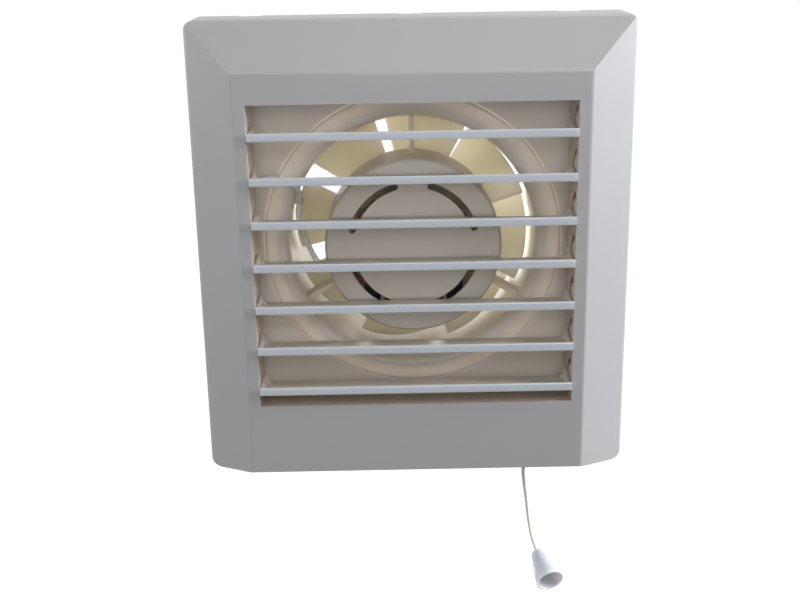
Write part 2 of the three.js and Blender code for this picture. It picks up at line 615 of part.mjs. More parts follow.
add('casing', casing(), 'abs_ivory');

// The duct passes through the plate. Its flange lies on the plate and its mouth is rounded into the bore.
function duct() {
  const steps = 5;
  const mouth = Array.from({ length: steps + 1 }, (_, i) => {
    const angle = (i / steps) * Math.PI / 2;
    return [FLARE_R - FLARE_W * Math.cos(angle), FLARE_REAR - (FLARE_REAR + FLARE_FRONT) * Math.sin(angle)];
  });
  const shell = turned([
    [BORE_R, DUCT_LENGTH], ...mouth, [FLANGE_R - FLANGE_T * 0.7, -FLARE_FRONT],
    [FLANGE_R, -FLARE_FRONT + FLANGE_T * 0.7], [FLANGE_R, -PLATE_T - FIT], [NECK_R, -PLATE_T - FIT],
    [NECK_R, 0], [DUCT_R, 0], [DUCT_R, DUCT_LENGTH],
  ], 60);
  const tabSlot = box([-ARM_T / 2 - FIT, ARM_T / 2 + FIT], [ARM_FRONT + TAB_STEP - FIT, ARM_REAR + FIT],
    [BORE_R - 1, NECK_R + 1]);
  return cut(shell, ...ARM_ANGLES.map((angle) => turnY(tabSlot, angle - 90)));
}
add('duct', duct(), 'abs_ivory');

function coverScrew() {
  const seat = -HALF_H;
  return join(bar('z', 0, COVER_SCREW_Y, 2.6, [seat - 1.4, seat - FIT], 16),
    bar('z', 0, COVER_SCREW_Y, COVER_SCREW_R, [seat - 1, -PLATE_Z + 5], 12));
}
add('cover_screw', coverScrew(), 'steel');

// ---------------------------------------------------------------- motor housing and its cover
function motorHousing() {
  let pod = turned([
    [POD_INNER, -POD_FRONT], [POD_R, -POD_FRONT], [POD_R, POD_REAR - 3], [POD_R - 3, POD_REAR],
    [POD_HOLE_R, POD_REAR], [POD_HOLE_R, POD_REAR - POD_WALL], [POD_INNER - 2, POD_REAR - POD_WALL],
    [POD_INNER, POD_REAR - POD_WALL - 2],
  ], 48);
  // Each arm ends in a tab that snaps into a slot in the duct's wall.
  const arm = join(box([-ARM_T / 2, ARM_T / 2], [ARM_FRONT, ARM_REAR], [POD_R - 0.8, BORE_R - FIT]),
    box([-ARM_T / 2, ARM_T / 2], [ARM_FRONT + TAB_STEP, ARM_REAR], [BORE_R - 1, DUCT_R - 0.2]));
  for (const angle of ARM_ANGLES) {
    pod = pod.add(turnY(arm, angle - 90));
  }
  for (const side of [-1, 1]) {
    const x = side * MOTOR_SCREW_X;
    pod = pod.add(bar('y', x, 0, 3.2, [MOTOR_Y + BRACKET_FOOT + BRACKET_T + FIT, POD_REAR - POD_WALL / 2], 12))
      .subtract(bar('y', x, 0, MOTOR_SCREW_R + FIT, [0, POD_REAR - 0.8], 12));
  }
  const leadGate = turnY(box([-1.7, 1.7], [-POD_FRONT - 1, GATE_Y], [POD_INNER - 1, POD_R + 1]), GATE_ANGLE - 90);
  return pod.subtract(leadGate);
}

add('motor_housing', motorHousing(), 'abs_ivory');

function motorCover() {
  const front = -POD_FRONT - FIT - COVER_DISC_T;
  const back = -POD_FRONT - FIT;
  let cover = turned([
    [0, front], [POD_R - 0.8, front], [POD_R, front + 0.8], [POD_R, back], [POD_INNER - FIT, back],
    [POD_INNER - FIT, back + DISC_LIP], [POD_INNER - FIT - 1.2, back + DISC_LIP], [POD_INNER - FIT - 1.2, back],
    [0, back],
  ], 48);
  for (let quarter = 45; quarter < 360; quarter += 90) {
    const vent = arcSlot(0, 0, VENT_R, VENT_W, quarter - VENT_SPREAD, quarter + VENT_SPREAD);
    cover = cover.subtract(prism('y', vent, [front - 1, back + 1], 5));
  }
  const gate = turnY(box([-1.8, 1.8], [back, 0], [POD_INNER - 3, POD_INNER]), GATE_ANGLE - 90);
  return cover.subtract(gate);
}
add('motor_cover', motorCover(), 'abs_white');

// ---------------------------------------------------------------- motor
function statorCore() {
  const outer = polygon([
    [-CORE_HALF_W, CORE_BOTTOM], [CORE_HALF_W, CORE_BOTTOM], [CORE_HALF_W, CORE_TOP - 4],
    [CORE_HALF_W - 4, CORE_TOP], [-CORE_HALF_W + 4, CORE_TOP], [-CORE_HALF_W, CORE_TOP - 4],
  ]);
  const y = [-CORE_HALF_L, CORE_HALF_L];
  const through = [-CORE_HALF_L - 1, CORE_HALF_L + 1];
  const window = box([-CORE_HALF_W + LIMB_W, CORE_HALF_W - LIMB_W], through,
    [CORE_BOTTOM + COIL_LEG, -POLE_DEPTH]);
  const screws = [-1, 1].map((side) => bar('y', side * MOTOR_SCREW_X, 0, MOTOR_SCREW_R + FIT, through, 12));
  return cut(prism('y', outer, y), window, bar('y', 0, 0, ROTOR_R + AIR_GAP, through, 36), ...screws);
}
add('stator_core', statorCore(), 'lamination', IN_MOTOR);

// A square bar round the core's lower leg, which the bobbin and the winding are cut from.
const legTube = (half, grow) => box([-half, half], [-CORE_HALF_L - grow, CORE_HALF_L + grow],
  [COIL_MID_Z - COIL_LEG / 2 - grow, COIL_MID_Z + COIL_LEG / 2 + grow]);

function coilBobbin() {
  const skin = FIT + 0.8;
  const flanges = [-1, 1].map((side) => {
    const x = [side * COIL_END, side * (COIL_END - BOBBIN_FLANGE)].sort((a, b) => a - b);
    return box(x, [-CORE_HALF_L - COIL_T, CORE_HALF_L + COIL_T],
      [COIL_MID_Z - COIL_LEG / 2 - COIL_T, COIL_MID_Z + COIL_LEG / 2 + COIL_T]);
  });
  return join(legTube(COIL_END - 0.2, skin), ...flanges).subtract(legTube(COIL_END + 1, FIT));
}
add('coil_bobbin', coilBobbin(), 'nylon_white', IN_MOTOR);

// The wound wire shows its turns as fine ridges round the bobbin.
function coilWinding() {
  const half = COIL_END - BOBBIN_FLANGE - FIT;
  const turns = 9;
  const pitch = (2 * half) / turns;
  let coil = legTube(half, COIL_T - 0.7);
  for (let i = 0; i < turns; i += 1) {
    const x = -half + (i + 0.5) * pitch;
    const ridge = box([x - pitch * 0.3, x + pitch * 0.3], [-CORE_HALF_L - COIL_T + 0.4, CORE_HALF_L + COIL_T - 0.4],
      [COIL_MID_Z - COIL_LEG / 2 - COIL_T + 0.4, COIL_MID_Z + COIL_LEG / 2 + COIL_T - 0.4]);
    coil = coil.add(ridge);
  }
  return coil.subtract(legTube(half + 1, 2 * FIT + 0.8));
}
add('coil_winding', coilWinding(), 'copper', IN_MOTOR);

// Each bracket is a pressed strip that carries a bearing on the axis. facing is -1 at the front.
function bracket(facing) {
  const at = (y) => facing * y;
  const feet = BRACKET_FOOT;
  const bridge = BRACKET_BRIDGE;
  const low = CORE_HALF_W - BRACKET_STEP_IN;
  const high = low - 3;
  const hat = [
    [-CORE_HALF_W, feet], [-low, feet], [-high, bridge], [high, bridge], [low, feet], [CORE_HALF_W, feet],
    [CORE_HALF_W, feet + BRACKET_T], [low - 0.4, feet + BRACKET_T], [high - 0.4, bridge + BRACKET_T],
    [0.4 - high, bridge + BRACKET_T], [0.4 - low, feet + BRACKET_T], [-CORE_HALF_W, feet + BRACKET_T],
  ].map(([x, y]) => [x, at(y)]);
  const span = (from, to) => [at(from), at(to)].sort((a, b) => a - b);
  let strip = prism('z', hat, [-BRACKET_W / 2, BRACKET_W / 2]);
  strip = strip.add(bar('y', 0, 0, BOSS_R, span(bridge, bridge + BRACKET_T + BOSS_L), 24));
  strip = strip.subtract(bar('y', 0, 0, BEARING_R + RUNNING, span(bridge - 1, bridge + BRACKET_T + BOSS_L + 1), 24));
  const screws = [-1, 1].map((side) => bar('y', side * MOTOR_SCREW_X, 0, MOTOR_SCREW_R + FIT,
    span(feet - 1, feet + BRACKET_T + 1), 12));
  return cut(strip, ...screws);
}
add('front_bracket', bracket(-1), 'steel', IN_MOTOR);
add('rear_bracket', bracket(1), 'steel', IN_MOTOR);

function bearing(facing) {
  const from = BRACKET_BRIDGE - 0.4;
  const span = [facing * from, facing * (from + BEARING_L)].sort((a, b) => a - b);
  return bar('y', 0, 0, BEARING_R, span, 24)
    .subtract(bar('y', 0, 0, SHAFT_R + SHAFT_RUNNING, [span[0] - 1, span[1] + 1], 24));
}
add('front_bearing', bearing(-1), 'bronze', IN_MOTOR);
add('rear_bearing', bearing(1), 'bronze', IN_MOTOR);

function rotor() {
  const body = turned([
    [SHAFT_R + FIT, -ROTOR_HALF_L], [ROTOR_R - 2.4, -ROTOR_HALF_L], [ROTOR_R - 2.4, -CORE_HALF_L],
    [ROTOR_R, -CORE_HALF_L], [ROTOR_R, CORE_HALF_L], [ROTOR_R - 2.4, CORE_HALF_L],
    [ROTOR_R - 2.4, ROTOR_HALF_L], [SHAFT_R + FIT, ROTOR_HALF_L],
  ], 28);
  return body;
}
add('rotor', rotor(), 'lamination', IN_MOTOR);
add('motor_shaft', bar('y', 0, 0, SHAFT_R, [-SHAFT_FRONT, SHAFT_REAR], 24), 'steel', IN_MOTOR);

for (const [name, side] of [['motor_screw_left', -1], ['motor_screw_right', 1]]) {
  const x = side * MOTOR_SCREW_X;
  const head = -BRACKET_FOOT - BRACKET_T - FIT;
  add(name, join(bar('y', x, 0, 2.8, [head - 1.8, head], 16),
    bar('y', x, 0, MOTOR_SCREW_R, [head - 0.5, POD_REAR - MOTOR_Y - 1.4], 12)), 'steel', IN_MOTOR);
}

// Two copper loops shade a corner of each pole and give the motor its direction.
for (const [name, side] of [['shading_ring_left', -1], ['shading_ring_right', 1]]) {
  const outer = CORE_HALF_W + FIT + SHADE_T;
  const half = CORE_HALF_L + FIT + SHADE_T;
  const across = (inner) => [side * inner, side * outer].sort((a, b) => a - b);
  add(name, join(box(across(CORE_HALF_W + FIT), [-half, half], SHADE_Z),
    box(across(CORE_HALF_W - 3.5), [-half, -half + SHADE_T], SHADE_Z),
    box(across(CORE_HALF_W - 3.5), [half - SHADE_T, half], SHADE_Z)), 'copper', IN_MOTOR);
}

// ---------------------------------------------------------------- fan wheel
// A blade starts as a cambered section extruded along its span. Each point is then turned to the
// pitch at its radius and wrapped round the axis, so the tips follow the bore. The chord and the
// pitch follow from the blade's arc and depth: steep at the hub and flat at the tip.
function fanBlade() {
  const section = new THREE.Shape();
  const half = 4;
  const camber = (u) => CAMBER * (1 - 4 * u * u);
  const thick = (u) => 0.5 * Math.sqrt(Math.max(0, 1 - Math.pow(2 * u, 4))) + 0.12;
  for (let i = 0; i <= 2 * half; i += 1) {
    const u = -0.5 + i / (2 * half);
    section[i ? 'lineTo' : 'moveTo'](u, camber(u) + thick(u) / 10);
  }
  for (let i = 2 * half; i >= 0; i -= 1) {
    const u = -0.5 + i / (2 * half);
    section.lineTo(u, camber(u) - thick(u) / 10);
  }
  const root = HUB_R - HUB_WALL / 2;
  const span = TIP_R - root;
  const geometry = new THREE.ExtrudeGeometry(section, { depth: 1, steps: 5, bevelEnabled: false });
  const points = geometry.attributes.position;
  for (let i = 0; i < points.count; i += 1) {
    const part = points.getZ(i);
    const radius = root + part * span;
    const chord = Math.hypot(BLADE_ARC * radius, BLADE_DEPTH);
    const pitch = Math.atan2(BLADE_DEPTH, BLADE_ARC * radius);
    const u = points.getX(i);
    const lift = camber(u);
    const t = (points.getY(i) - lift) * 10 * FAN_BLADE_T + lift * chord;
    const back = BLADE_MID_Y + u * chord * Math.sin(pitch) - t * Math.cos(pitch);
    const angle = (u * chord * Math.cos(pitch) + t * Math.sin(pitch)) / radius;
    points.setXYZ(i, radius * Math.cos(angle), back, radius * Math.sin(angle));
  }
  return solid(geometry);
}

function impeller() {
  let wheel = turned([
    [HUB_CORE_R, HUB_FRONT], [HUB_R - 2, HUB_FRONT], [HUB_R, HUB_FRONT + 2], [HUB_R, HUB_REAR],
    [HUB_R - HUB_WALL, HUB_REAR], [HUB_R - HUB_WALL, HUB_FRONT + HUB_WALL + 1],
    [HUB_R - HUB_WALL - 1, HUB_FRONT + HUB_WALL], [HUB_CORE_R, HUB_FRONT + HUB_WALL],
  ], 40);
  const blade = fanBlade();
  for (let i = 0; i < BLADE_COUNT; i += 1) {
    wheel = wheel.add(turnY(blade, FIRST_BLADE + (i * 360) / BLADE_COUNT));
  }
  wheel = wheel.add(bar('y', 0, 0, HUB_CORE_R + 0.5, [HUB_FRONT, HUB_REAR], 24));
  for (let i = 0; i < 4; i += 1) {
    wheel = wheel.add(turnY(box([HUB_CORE_R, HUB_R - HUB_WALL / 2], [HUB_FRONT + 1, HUB_REAR - 4], [-0.7, 0.7]), i * 90));
  }
  return wheel.subtract(bar('y', 0, 0, SHAFT_R + FIT, [HUB_FRONT - 1, HUB_REAR + 1], 20));
}
add('impeller', impeller(), 'abs_ivory');

function impellerNut() {
  const outline = Array.from({ length: 6 }, (_, i) => [
    NUT_R * Math.cos((i * Math.PI) / 3), NUT_R * Math.sin((i * Math.PI) / 3)]);
  return prism('y', outline, [HUB_REAR + FIT, HUB_REAR + FIT + NUT_L])
    .subtract(bar('y', 0, 0, SHAFT_R + FIT, [HUB_REAR, HUB_REAR + NUT_L + 1], 16));
}
add('impeller_nut', impellerNut(), 'brass');

// ---------------------------------------------------------------- pull switch
const boreHalf = PLUNGER_W / 2 + FIT;
function switchBody() {
  const x = [SWITCH_X - SWITCH_W / 2, SWITCH_X + SWITCH_W / 2];
  const shell = prism('x', roundedRectangle(-SWITCH_FRONT, -SWITCH_REAR, SWITCH_BOTTOM, SWITCH_TOP - EAR_W, 1), x, 3);
  const tower = box([SWITCH_X - SWITCH_TOWER_W / 2, SWITCH_X + SWITCH_TOWER_W / 2],
    [-SWITCH_FRONT, -SWITCH_REAR], [SWITCH_BOTTOM + 2, SWITCH_TOP]);
  const ears = box(x, [-SWITCH_REAR - 2.4, -SWITCH_REAR], [SWITCH_TOP - EAR_W - 2, SWITCH_TOP]);
  const bore = box([CORD_X - boreHalf, CORD_X + boreHalf], [CORD_Y - boreHalf, CORD_Y + boreHalf],
    [SWITCH_BOTTOM + 1.6, PLUNGER_TOP + FIT]);
  const mouth = bar('z', CORD_X, CORD_Y, EYELET_BORE_R + 0.6, [SWITCH_BOTTOM - 1, SWITCH_BOTTOM + 3], 14);
  const spindle = bar('x', DRIVE_Y, DRIVE_Z, SPINDLE_R + RUNNING, [x[1] - SPINDLE_L - 1, x[1] + 1], 18);
  const screws = [-1, 1].map((side) => bar('y', SWITCH_X + side * EAR_X, SWITCH_EAR_Z,
    SMALL_SCREW_R + FIT, [-SWITCH_REAR - 4, 0], 10));
  return cut(join(shell, tower, ears), bore, mouth, spindle, ...screws);
}
add('pull_switch_body', switchBody(), 'bakelite');

for (const [name, side] of [['switch_screw_left', -1], ['switch_screw_right', 1]]) {
  const x = SWITCH_X + side * EAR_X;
  const seat = -SWITCH_REAR - 2.4 - FIT;
  add(name, join(bar('y', x, SWITCH_EAR_Z, 2.4, [seat - 1.6, seat], 14),
    bar('y', x, SWITCH_EAR_Z, SMALL_SCREW_R, [seat - 0.5, -0.6], 10)), 'steel');
}

function plunger() {
  const half = PLUNGER_W / 2;
  const head = box([CORD_X - half, CORD_X + half], [CORD_Y - half, CORD_Y + half],
    [PLUNGER_TOP - PLUNGER_HEAD, PLUNGER_TOP]);
  return head.add(bar('z', CORD_X, CORD_Y, 1.1, [PLUNGER_TOP - PLUNGER_HEAD - 2, PLUNGER_TOP - 1], 12));
}
add('switch_plunger', plunger(), 'nylon_black');

function pullSpring() {
  const bottom = SWITCH_BOTTOM + 1.6 + FIT + SPRING_WIRE_R;
  const top = PLUNGER_TOP - PLUNGER_HEAD - FIT - SPRING_WIRE_R;
  const points = [];
  const steps = SPRING_TURNS * 8;
  for (let i = 0; i <= steps; i += 1) {
    const angle = (i / 8) * Math.PI * 2;
    points.push([CORD_X + SPRING_R * Math.cos(angle), CORD_Y + SPRING_R * Math.sin(angle),
      bottom + ((top - bottom) * i) / steps]);
  }
  return tube(points, 2 * SPRING_WIRE_R, steps, 5);
}
add('pull_spring', pullSpring(), 'steel');

// The eyelet lines the hole that the cord leaves through, and sits under the switch.
function cordEyelet() {
  const top = SWITCH_BOTTOM - FIT;
  return join(bar('z', CORD_X, CORD_Y, EYELET_R + 1.2, [top - 1.4, top], 20),
    bar('z', CORD_X, CORD_Y, EYELET_R, [-HALF_H, top - 1], 20))
    .subtract(bar('z', CORD_X, CORD_Y, EYELET_BORE_R, [-HALF_H - 1, top + 1], 16));
}
add('cord_eyelet', cordEyelet(), 'nylon_white');

add('cord_inner', bar('z', CORD_X, CORD_Y, CORD_D / 2,
  [CORD_EXIT, PLUNGER_TOP - PLUNGER_HEAD - 2 - FIT], 8), 'cord_white');

// The free cord's middle line, from the eyelet to the bell.
const CORD_ROUTE = [
  [0, 0, 0], [0, 0, -2.8], [-0.1, 0, -5.7], [-0.1, 0, -8.5], [0.2, 0, -11.3], [0.5, -0.1, -14.2],
  [0.9, -0.2, -17], [1.3, -0.3, -19.8], [1.6, -0.6, -22.7], [1.9, -1, -25.4], [2.2, -1.7, -28.1],
  [2.6, -2.6, -30.9], [3, -3.8, -33.4], [3.6, -5.3, -35.6], [4.3, -7.3, -37.5], [5, -9.5, -39],
].map(([x, y, z]) => [CORD_X + x, CORD_Y + y, CORD_EXIT - FIT + z]);
add('pull_cord', tube(CORD_ROUTE, CORD_D, 18), 'cord_white');

// The bell is a hollow cone, held by the cord's knot, with its open end towards the room.
function cordBell() {
  const outer = [[0, 0], [BELL_TOP_R * 0.72, 0.3], [BELL_TOP_R, 1.5], [BELL_R - 0.25, BELL_L - 3.4],
    [BELL_R, BELL_L - 1], [BELL_R - 0.4, BELL_L]];
  const inner = [[BELL_R - BELL_WALL, BELL_L], [BELL_R - BELL_WALL - 0.4, BELL_L - 3.4],
    [BELL_TOP_R, BELL_L - BELL_HOLLOW], [0, BELL_L - BELL_HOLLOW]];
  const profile = [...outer, ...inner].map(([r, along]) => new THREE.Vector2(r, -along));
  const geometry = new THREE.LatheGeometry(profile, 20);
  geometry.applyQuaternion(new THREE.Quaternion().setFromUnitVectors(new THREE.Vector3(0, -1, 0), BELL_TOWARDS));
  const [x, y, z] = CORD_ROUTE.at(-1);
  const { x: dx, y: dy, z: dz } = BELL_TOWARDS.clone().multiplyScalar(2 * FIT);
  geometry.translate(x + dx, y + dy, z + dz);
  return solid(geometry);
}
add('cord_bell', cordBell(), 'abs_bright');

// ---------------------------------------------------------------- wiring
const terminalX = (i) => BLOCK_X + (i - (POLE_COUNT - 1) / 2) * POLE_PITCH;
function terminalBlock() {
  const back = -PLATE_T - FIT;
  const half = BLOCK_H / 2;
  let block = prism('x', roundedRectangle(-BLOCK_FRONT, back, BLOCK_Z - half, BLOCK_Z + half, 1),
    [BLOCK_X - BLOCK_W / 2, BLOCK_X + BLOCK_W / 2], 2);
  for (let i = 0; i < POLE_COUNT; i += 1) {
    const x = terminalX(i);
    block = block.subtract(bar('y', x, BLOCK_Z, TERMINAL_R + FIT, [-BLOCK_FRONT - 1, -BLOCK_FRONT + 4.6], 14));
    block = block.subtract(bar('z', x, -PLATE_T - 4.4, 1.5, [BLOCK_Z - half - 1, BLOCK_Z + half + 1], 10));
    if (i) {
      const groove = x - POLE_PITCH / 2;
      block = block.subtract(box([groove - 0.7, groove + 0.7], [-BLOCK_FRONT - 1, -PLATE_T - 6],
        [BLOCK_Z - half - 1, BLOCK_Z + half + 1]));
    }
  }
  return block;
}
add('terminal_block', terminalBlock(), 'nylon_white');

for (let i = 0; i < POLE_COUNT; i += 1) {
  const x = terminalX(i);
  const head = -BLOCK_FRONT + 0.9;
  const screw = bar('y', x, BLOCK_Z, TERMINAL_R, [head, head + 3.2], 14)
    .subtract(box([x - 3, x + 3], [head - 1, head + 0.8], [BLOCK_Z - 0.35, BLOCK_Z + 0.35]));
  add(`terminal_screw_${i + 1}`, screw, 'brass');
}

function cableClamp() {
  const front = -PLATE_T - CLAMP_BOSS_H - FIT;
  const half = CLAMP_W / 2;
  const strap = prism('z', [
    [CABLE_X - half, front - CLAMP_T], [CABLE_X - 2.9, front - CLAMP_T], [CABLE_X - 2, front - CLAMP_T - CLAMP_ARCH],
    [CABLE_X + 2, front - CLAMP_T - CLAMP_ARCH], [CABLE_X + 2.9, front - CLAMP_T], [CABLE_X + half, front - CLAMP_T],
    [CABLE_X + half, front], [CABLE_X + 2.6, front], [CABLE_X + 1.8, front - CLAMP_ARCH],
    [CABLE_X - 1.8, front - CLAMP_ARCH], [CABLE_X - 2.6, front], [CABLE_X - half, front],
  ].reverse(), [CLAMP_Z - CLAMP_BAR / 2, CLAMP_Z + CLAMP_BAR / 2]);
  const holes = [-1, 1].map((side) => bar('y', CABLE_X + side * CLAMP_SCREW_X, CLAMP_Z, SMALL_SCREW_R + FIT,
    [front - 5, front + 1], 10));
  return cut(strap, ...holes);
}
add('cable_clamp', cableClamp(), 'nylon_white');

for (const [name, side] of [['clamp_screw_left', -1], ['clamp_screw_right', 1]]) {
  const x = CABLE_X + side * CLAMP_SCREW_X;
  const seat = -PLATE_T - CLAMP_BOSS_H - FIT - CLAMP_T - FIT;
  add(name, join(bar('y', x, CLAMP_Z, 2.2, [seat - 1.5, seat], 14),
    bar('y', x, CLAMP_Z, SMALL_SCREW_R, [seat - 0.5, -PLATE_T - 0.8], 10)), 'steel');
}

// The motor's lead climbs behind the left jamb, crosses at the second slat and drops into the motor.
const LEAD_ROUTE = [
  [BLOCK_X - BLOCK_W / 2 - 0.4, -6.6, BLOCK_Z - 1], [BLOCK_X - 20, -6.5, BLOCK_Z],
  [BLOCK_X - 24, -5.8, BLOCK_Z + 5], [BLOCK_X - 27, -5.2, BLOCK_Z + 12.5],
  [LEAD_X + 1, LEAD_Y, -50], [LEAD_X, LEAD_Y, -40], [LEAD_X, LEAD_Y, 5], [LEAD_X + 0.5, LEAD_Y, 18],
  [-58.4, LEAD_Y - 0.2, 24.4], [-53, LEAD_Y - 0.2, 25.8], [-48.6, LEAD_Y - 0.1, 24.6],
  [-45.2, LEAD_Y, 22.8], [-43, -4, 20.2], [-43, -3.2, 16.2], [-43.6, -2.8, 12], [-43, -3, 7.8],
  [-41.9, -3.8, 3.6], [-39.6, -5.6, -1.4], [-36.9, -7.4, -6], [-34.4, -8.5, -8.4], [-31.6, -8.7, -8.15],
  [-29.2, -8.6, -7.8],
];
add('motor_lead', tube(LEAD_ROUTE, LEAD_D, 70, 6), 'pvc_white');

// One of the coil's own wires, joined to the lead inside the motor housing.
const COIL_LEAD_ROUTE = [
  [-28.2, -8.4, -8], [-25.4, -8.2, -10.2], [-22.4, -8, -12.6], [-19, -8, -14.4], [-15.8, -8.2, -16],
  [-12.4, -8.4, -17.4], [-8.8, -8.2, -18],
];
add('coil_lead', tube(COIL_LEAD_ROUTE, COIL_LEAD_D, 18, 6), 'pvc_red');

// A small band on the lead where it turns down into the duct's mouth.
function leadClip() {
  const [x, y, z] = LEAD_ROUTE[13];
  const inner = LEAD_D / 2 + FIT;
  return bar('z', x, y, inner + CLIP_T, [z - CLIP_L / 2, z + CLIP_L / 2], 16)
    .subtract(bar('z', x, y, inner, [z - CLIP_L, z + CLIP_L], 16));
}
add('lead_clip', leadClip(), 'nylon_white');

const SWITCH_LEAD_ROUTE = [
  [BLOCK_X + BLOCK_W / 2 + 0.4, -6.6, BLOCK_Z], [-8, -6.6, BLOCK_Z - 0.6], [4, -6.8, BLOCK_Z - 1.6],
  [18, -7, BLOCK_Z - 2], [SWITCH_X - SWITCH_W / 2 - 7, -7.2, BLOCK_Z - 2],
  [SWITCH_X - SWITCH_W / 2 - 0.4, -7.2, BLOCK_Z - 2],
];
add('switch_lead', tube(SWITCH_LEAD_ROUTE, LEAD_D, 18, 6), 'pvc_white');

export default fan;
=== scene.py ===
# %% [markdown]
# # A window exhaust fan with a slatted shutter
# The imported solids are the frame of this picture. This script dresses them: every piece gets the finish
# of the real one, and a few plain solids are swapped for finer meshes where the eye comes close. All
# lengths are in metres unless a name ends in _MM or a comment says millimetres, and +Z is up. The room is
# on the -Y side and the duct runs along +Y.
# %% Load the frame
import json
import math
import bmesh
import bpy
from mathutils import Matrix, Vector


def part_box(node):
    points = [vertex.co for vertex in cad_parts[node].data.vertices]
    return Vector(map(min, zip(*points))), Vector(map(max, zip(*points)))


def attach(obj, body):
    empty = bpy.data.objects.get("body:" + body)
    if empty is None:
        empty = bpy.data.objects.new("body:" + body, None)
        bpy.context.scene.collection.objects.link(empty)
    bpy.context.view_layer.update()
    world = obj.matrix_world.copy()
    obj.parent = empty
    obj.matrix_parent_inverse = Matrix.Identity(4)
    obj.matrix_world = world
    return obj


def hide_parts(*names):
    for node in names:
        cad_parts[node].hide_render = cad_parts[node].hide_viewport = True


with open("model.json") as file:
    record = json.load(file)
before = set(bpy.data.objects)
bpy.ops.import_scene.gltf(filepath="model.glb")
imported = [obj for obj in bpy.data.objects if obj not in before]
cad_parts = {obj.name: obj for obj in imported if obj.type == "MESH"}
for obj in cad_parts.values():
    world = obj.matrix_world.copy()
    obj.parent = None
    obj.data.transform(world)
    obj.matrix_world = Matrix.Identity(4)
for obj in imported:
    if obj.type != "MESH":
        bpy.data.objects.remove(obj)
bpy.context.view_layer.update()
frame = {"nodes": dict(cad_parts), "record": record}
NODES = frame["nodes"]
MM = 0.001

# %% [markdown]
# ## Small tools
# Colours are picked as sRGB hex values, the way a paint chart gives them, but light is added up in linear
# values. One function turns each into the other, so that no colour is converted by hand or twice. One
# more function adds any shader node with its settings and its links, which keeps each finish short.
# %% Colours and nodes
def linear(hex_colour):
    values = [int(hex_colour[i:i + 2], 16) / 255 for i in (1, 3, 5)]
    return [v / 12.92 if v <= 0.04045 else ((v + 0.055) / 1.055) ** 2.4 for v in values] + [1.0]


def add_node(tree, kind, inputs=None, **settings):
    """Adds a shader node. inputs gives each socket a number, a colour or another node's output."""
    made = tree.nodes.new("ShaderNode" + kind)
    for name, value in settings.items():
        setattr(made, name, value)
    for name, value in (inputs or {}).items():
        if isinstance(value, bpy.types.NodeSocket):
            tree.links.new(value, made.inputs[name])
        else:
            made.inputs[name].default_value = value
    return made


def new_material(name):
    material = bpy.data.materials.new(name)
    material.use_nodes = True
    tree = material.node_tree
    tree.nodes.clear()
    shader = add_node(tree, "BsdfPrincipled")
    out = add_node(tree, "OutputMaterial", {"Surface": shader.outputs["BSDF"]})
    return material, tree, shader, out


print("mid grey is", round(linear("#808080")[0], 3), "in linear light")

# %% [markdown]
# No moulding or casting has one flat colour. Its pigment is a little uneven, and so is its sheen. A
# picture of the surface could give that, but a pattern worked out in the object's own space needs no
# unwrapping and keeps its size in millimetres on every piece, so this way was chosen.
# %% Patterns in real sizes
def mottle(tree, size_mm, detail=2.0, stretch=(1, 1, 1)):
    """Soft random patches that measure about size_mm across."""
    place = add_node(tree, "TexCoord").outputs["Object"]
    scaled = add_node(tree, "Mapping", {"Vector": place, "Scale": stretch}).outputs["Vector"]
    return add_node(tree, "TexNoise", {"Vector": scaled, "Scale": 1 / (size_mm * MM),
                                       "Detail": detail}).outputs["Fac"]


def two_tone(tree, pattern, light, dark):
    """Runs from the colour light to the colour dark as the pattern goes from 0 to 1."""
    # Sockets 0, 6 and 7 of a colour mix are its factor and its two colours.
    mixed = add_node(tree, "Mix", {0: pattern, 6: linear(light), 7: linear(dark)}, data_type="RGBA")
    return mixed.outputs[2]


def uneven_sheen(tree, shader, pattern, glossy, dull):
    """Lets the roughness follow a pattern."""
    spread = add_node(tree, "MapRange", {"Value": pattern, "From Min": 0.3, "From Max": 0.7,
                                         "To Min": glossy, "To Max": dull})
    tree.links.new(spread.outputs["Result"], shader.inputs["Roughness"])


def relief(tree, shader, height, strength, depth_mm, edge_mm=0):
    """Raises the surface by a pattern. edge_mm rounds the light on sharp edges, as a mould's radius does."""
    inputs = {"Height": height, "Strength": strength, "Distance": depth_mm * MM}
    if edge_mm:
        inputs["Normal"] = add_node(tree, "Bevel", {"Radius": edge_mm * MM}, samples=4).outputs["Normal"]
    raised = add_node(tree, "Bump", inputs)
    tree.links.new(raised.outputs["Normal"], shader.inputs["Normal"])


print("a 26 mm patch repeats", round(1 / (26 * MM), 1), "times in a metre")

# %% [markdown]
# The shell of the real fan looks cool grey outside and warmer inside the opening, where light bounces
# between the plate and the slats. That warm bounce light is painted into the shell's colour there. Two
# materials on one piece would need the faces split by hand. Instead a list of limits says where the painted
# warm tone starts, so the solid stays whole.
# %% Places on a piece
OPENING = [("X", -59.3, 59.3), ("Y", -27.4, 0), ("Z", -58, 56.6)]
BEHIND_THE_LIPS = [("Y", -28.5, 0)]
REAR_OF_PLATE = [("Y", -1, 70)]
OUTSIDE_OF_DUCT = [("Y", -1.5, 70), ("R", 48.4, 80)]
PLATE_AT_FLANGE = [("Y", -3, 0), ("R", 52, 66)]
FLANGE_EDGE = [("Y", -4, 0), ("R", 52, 66)]
SOFT_LIMIT_MM = 0.2


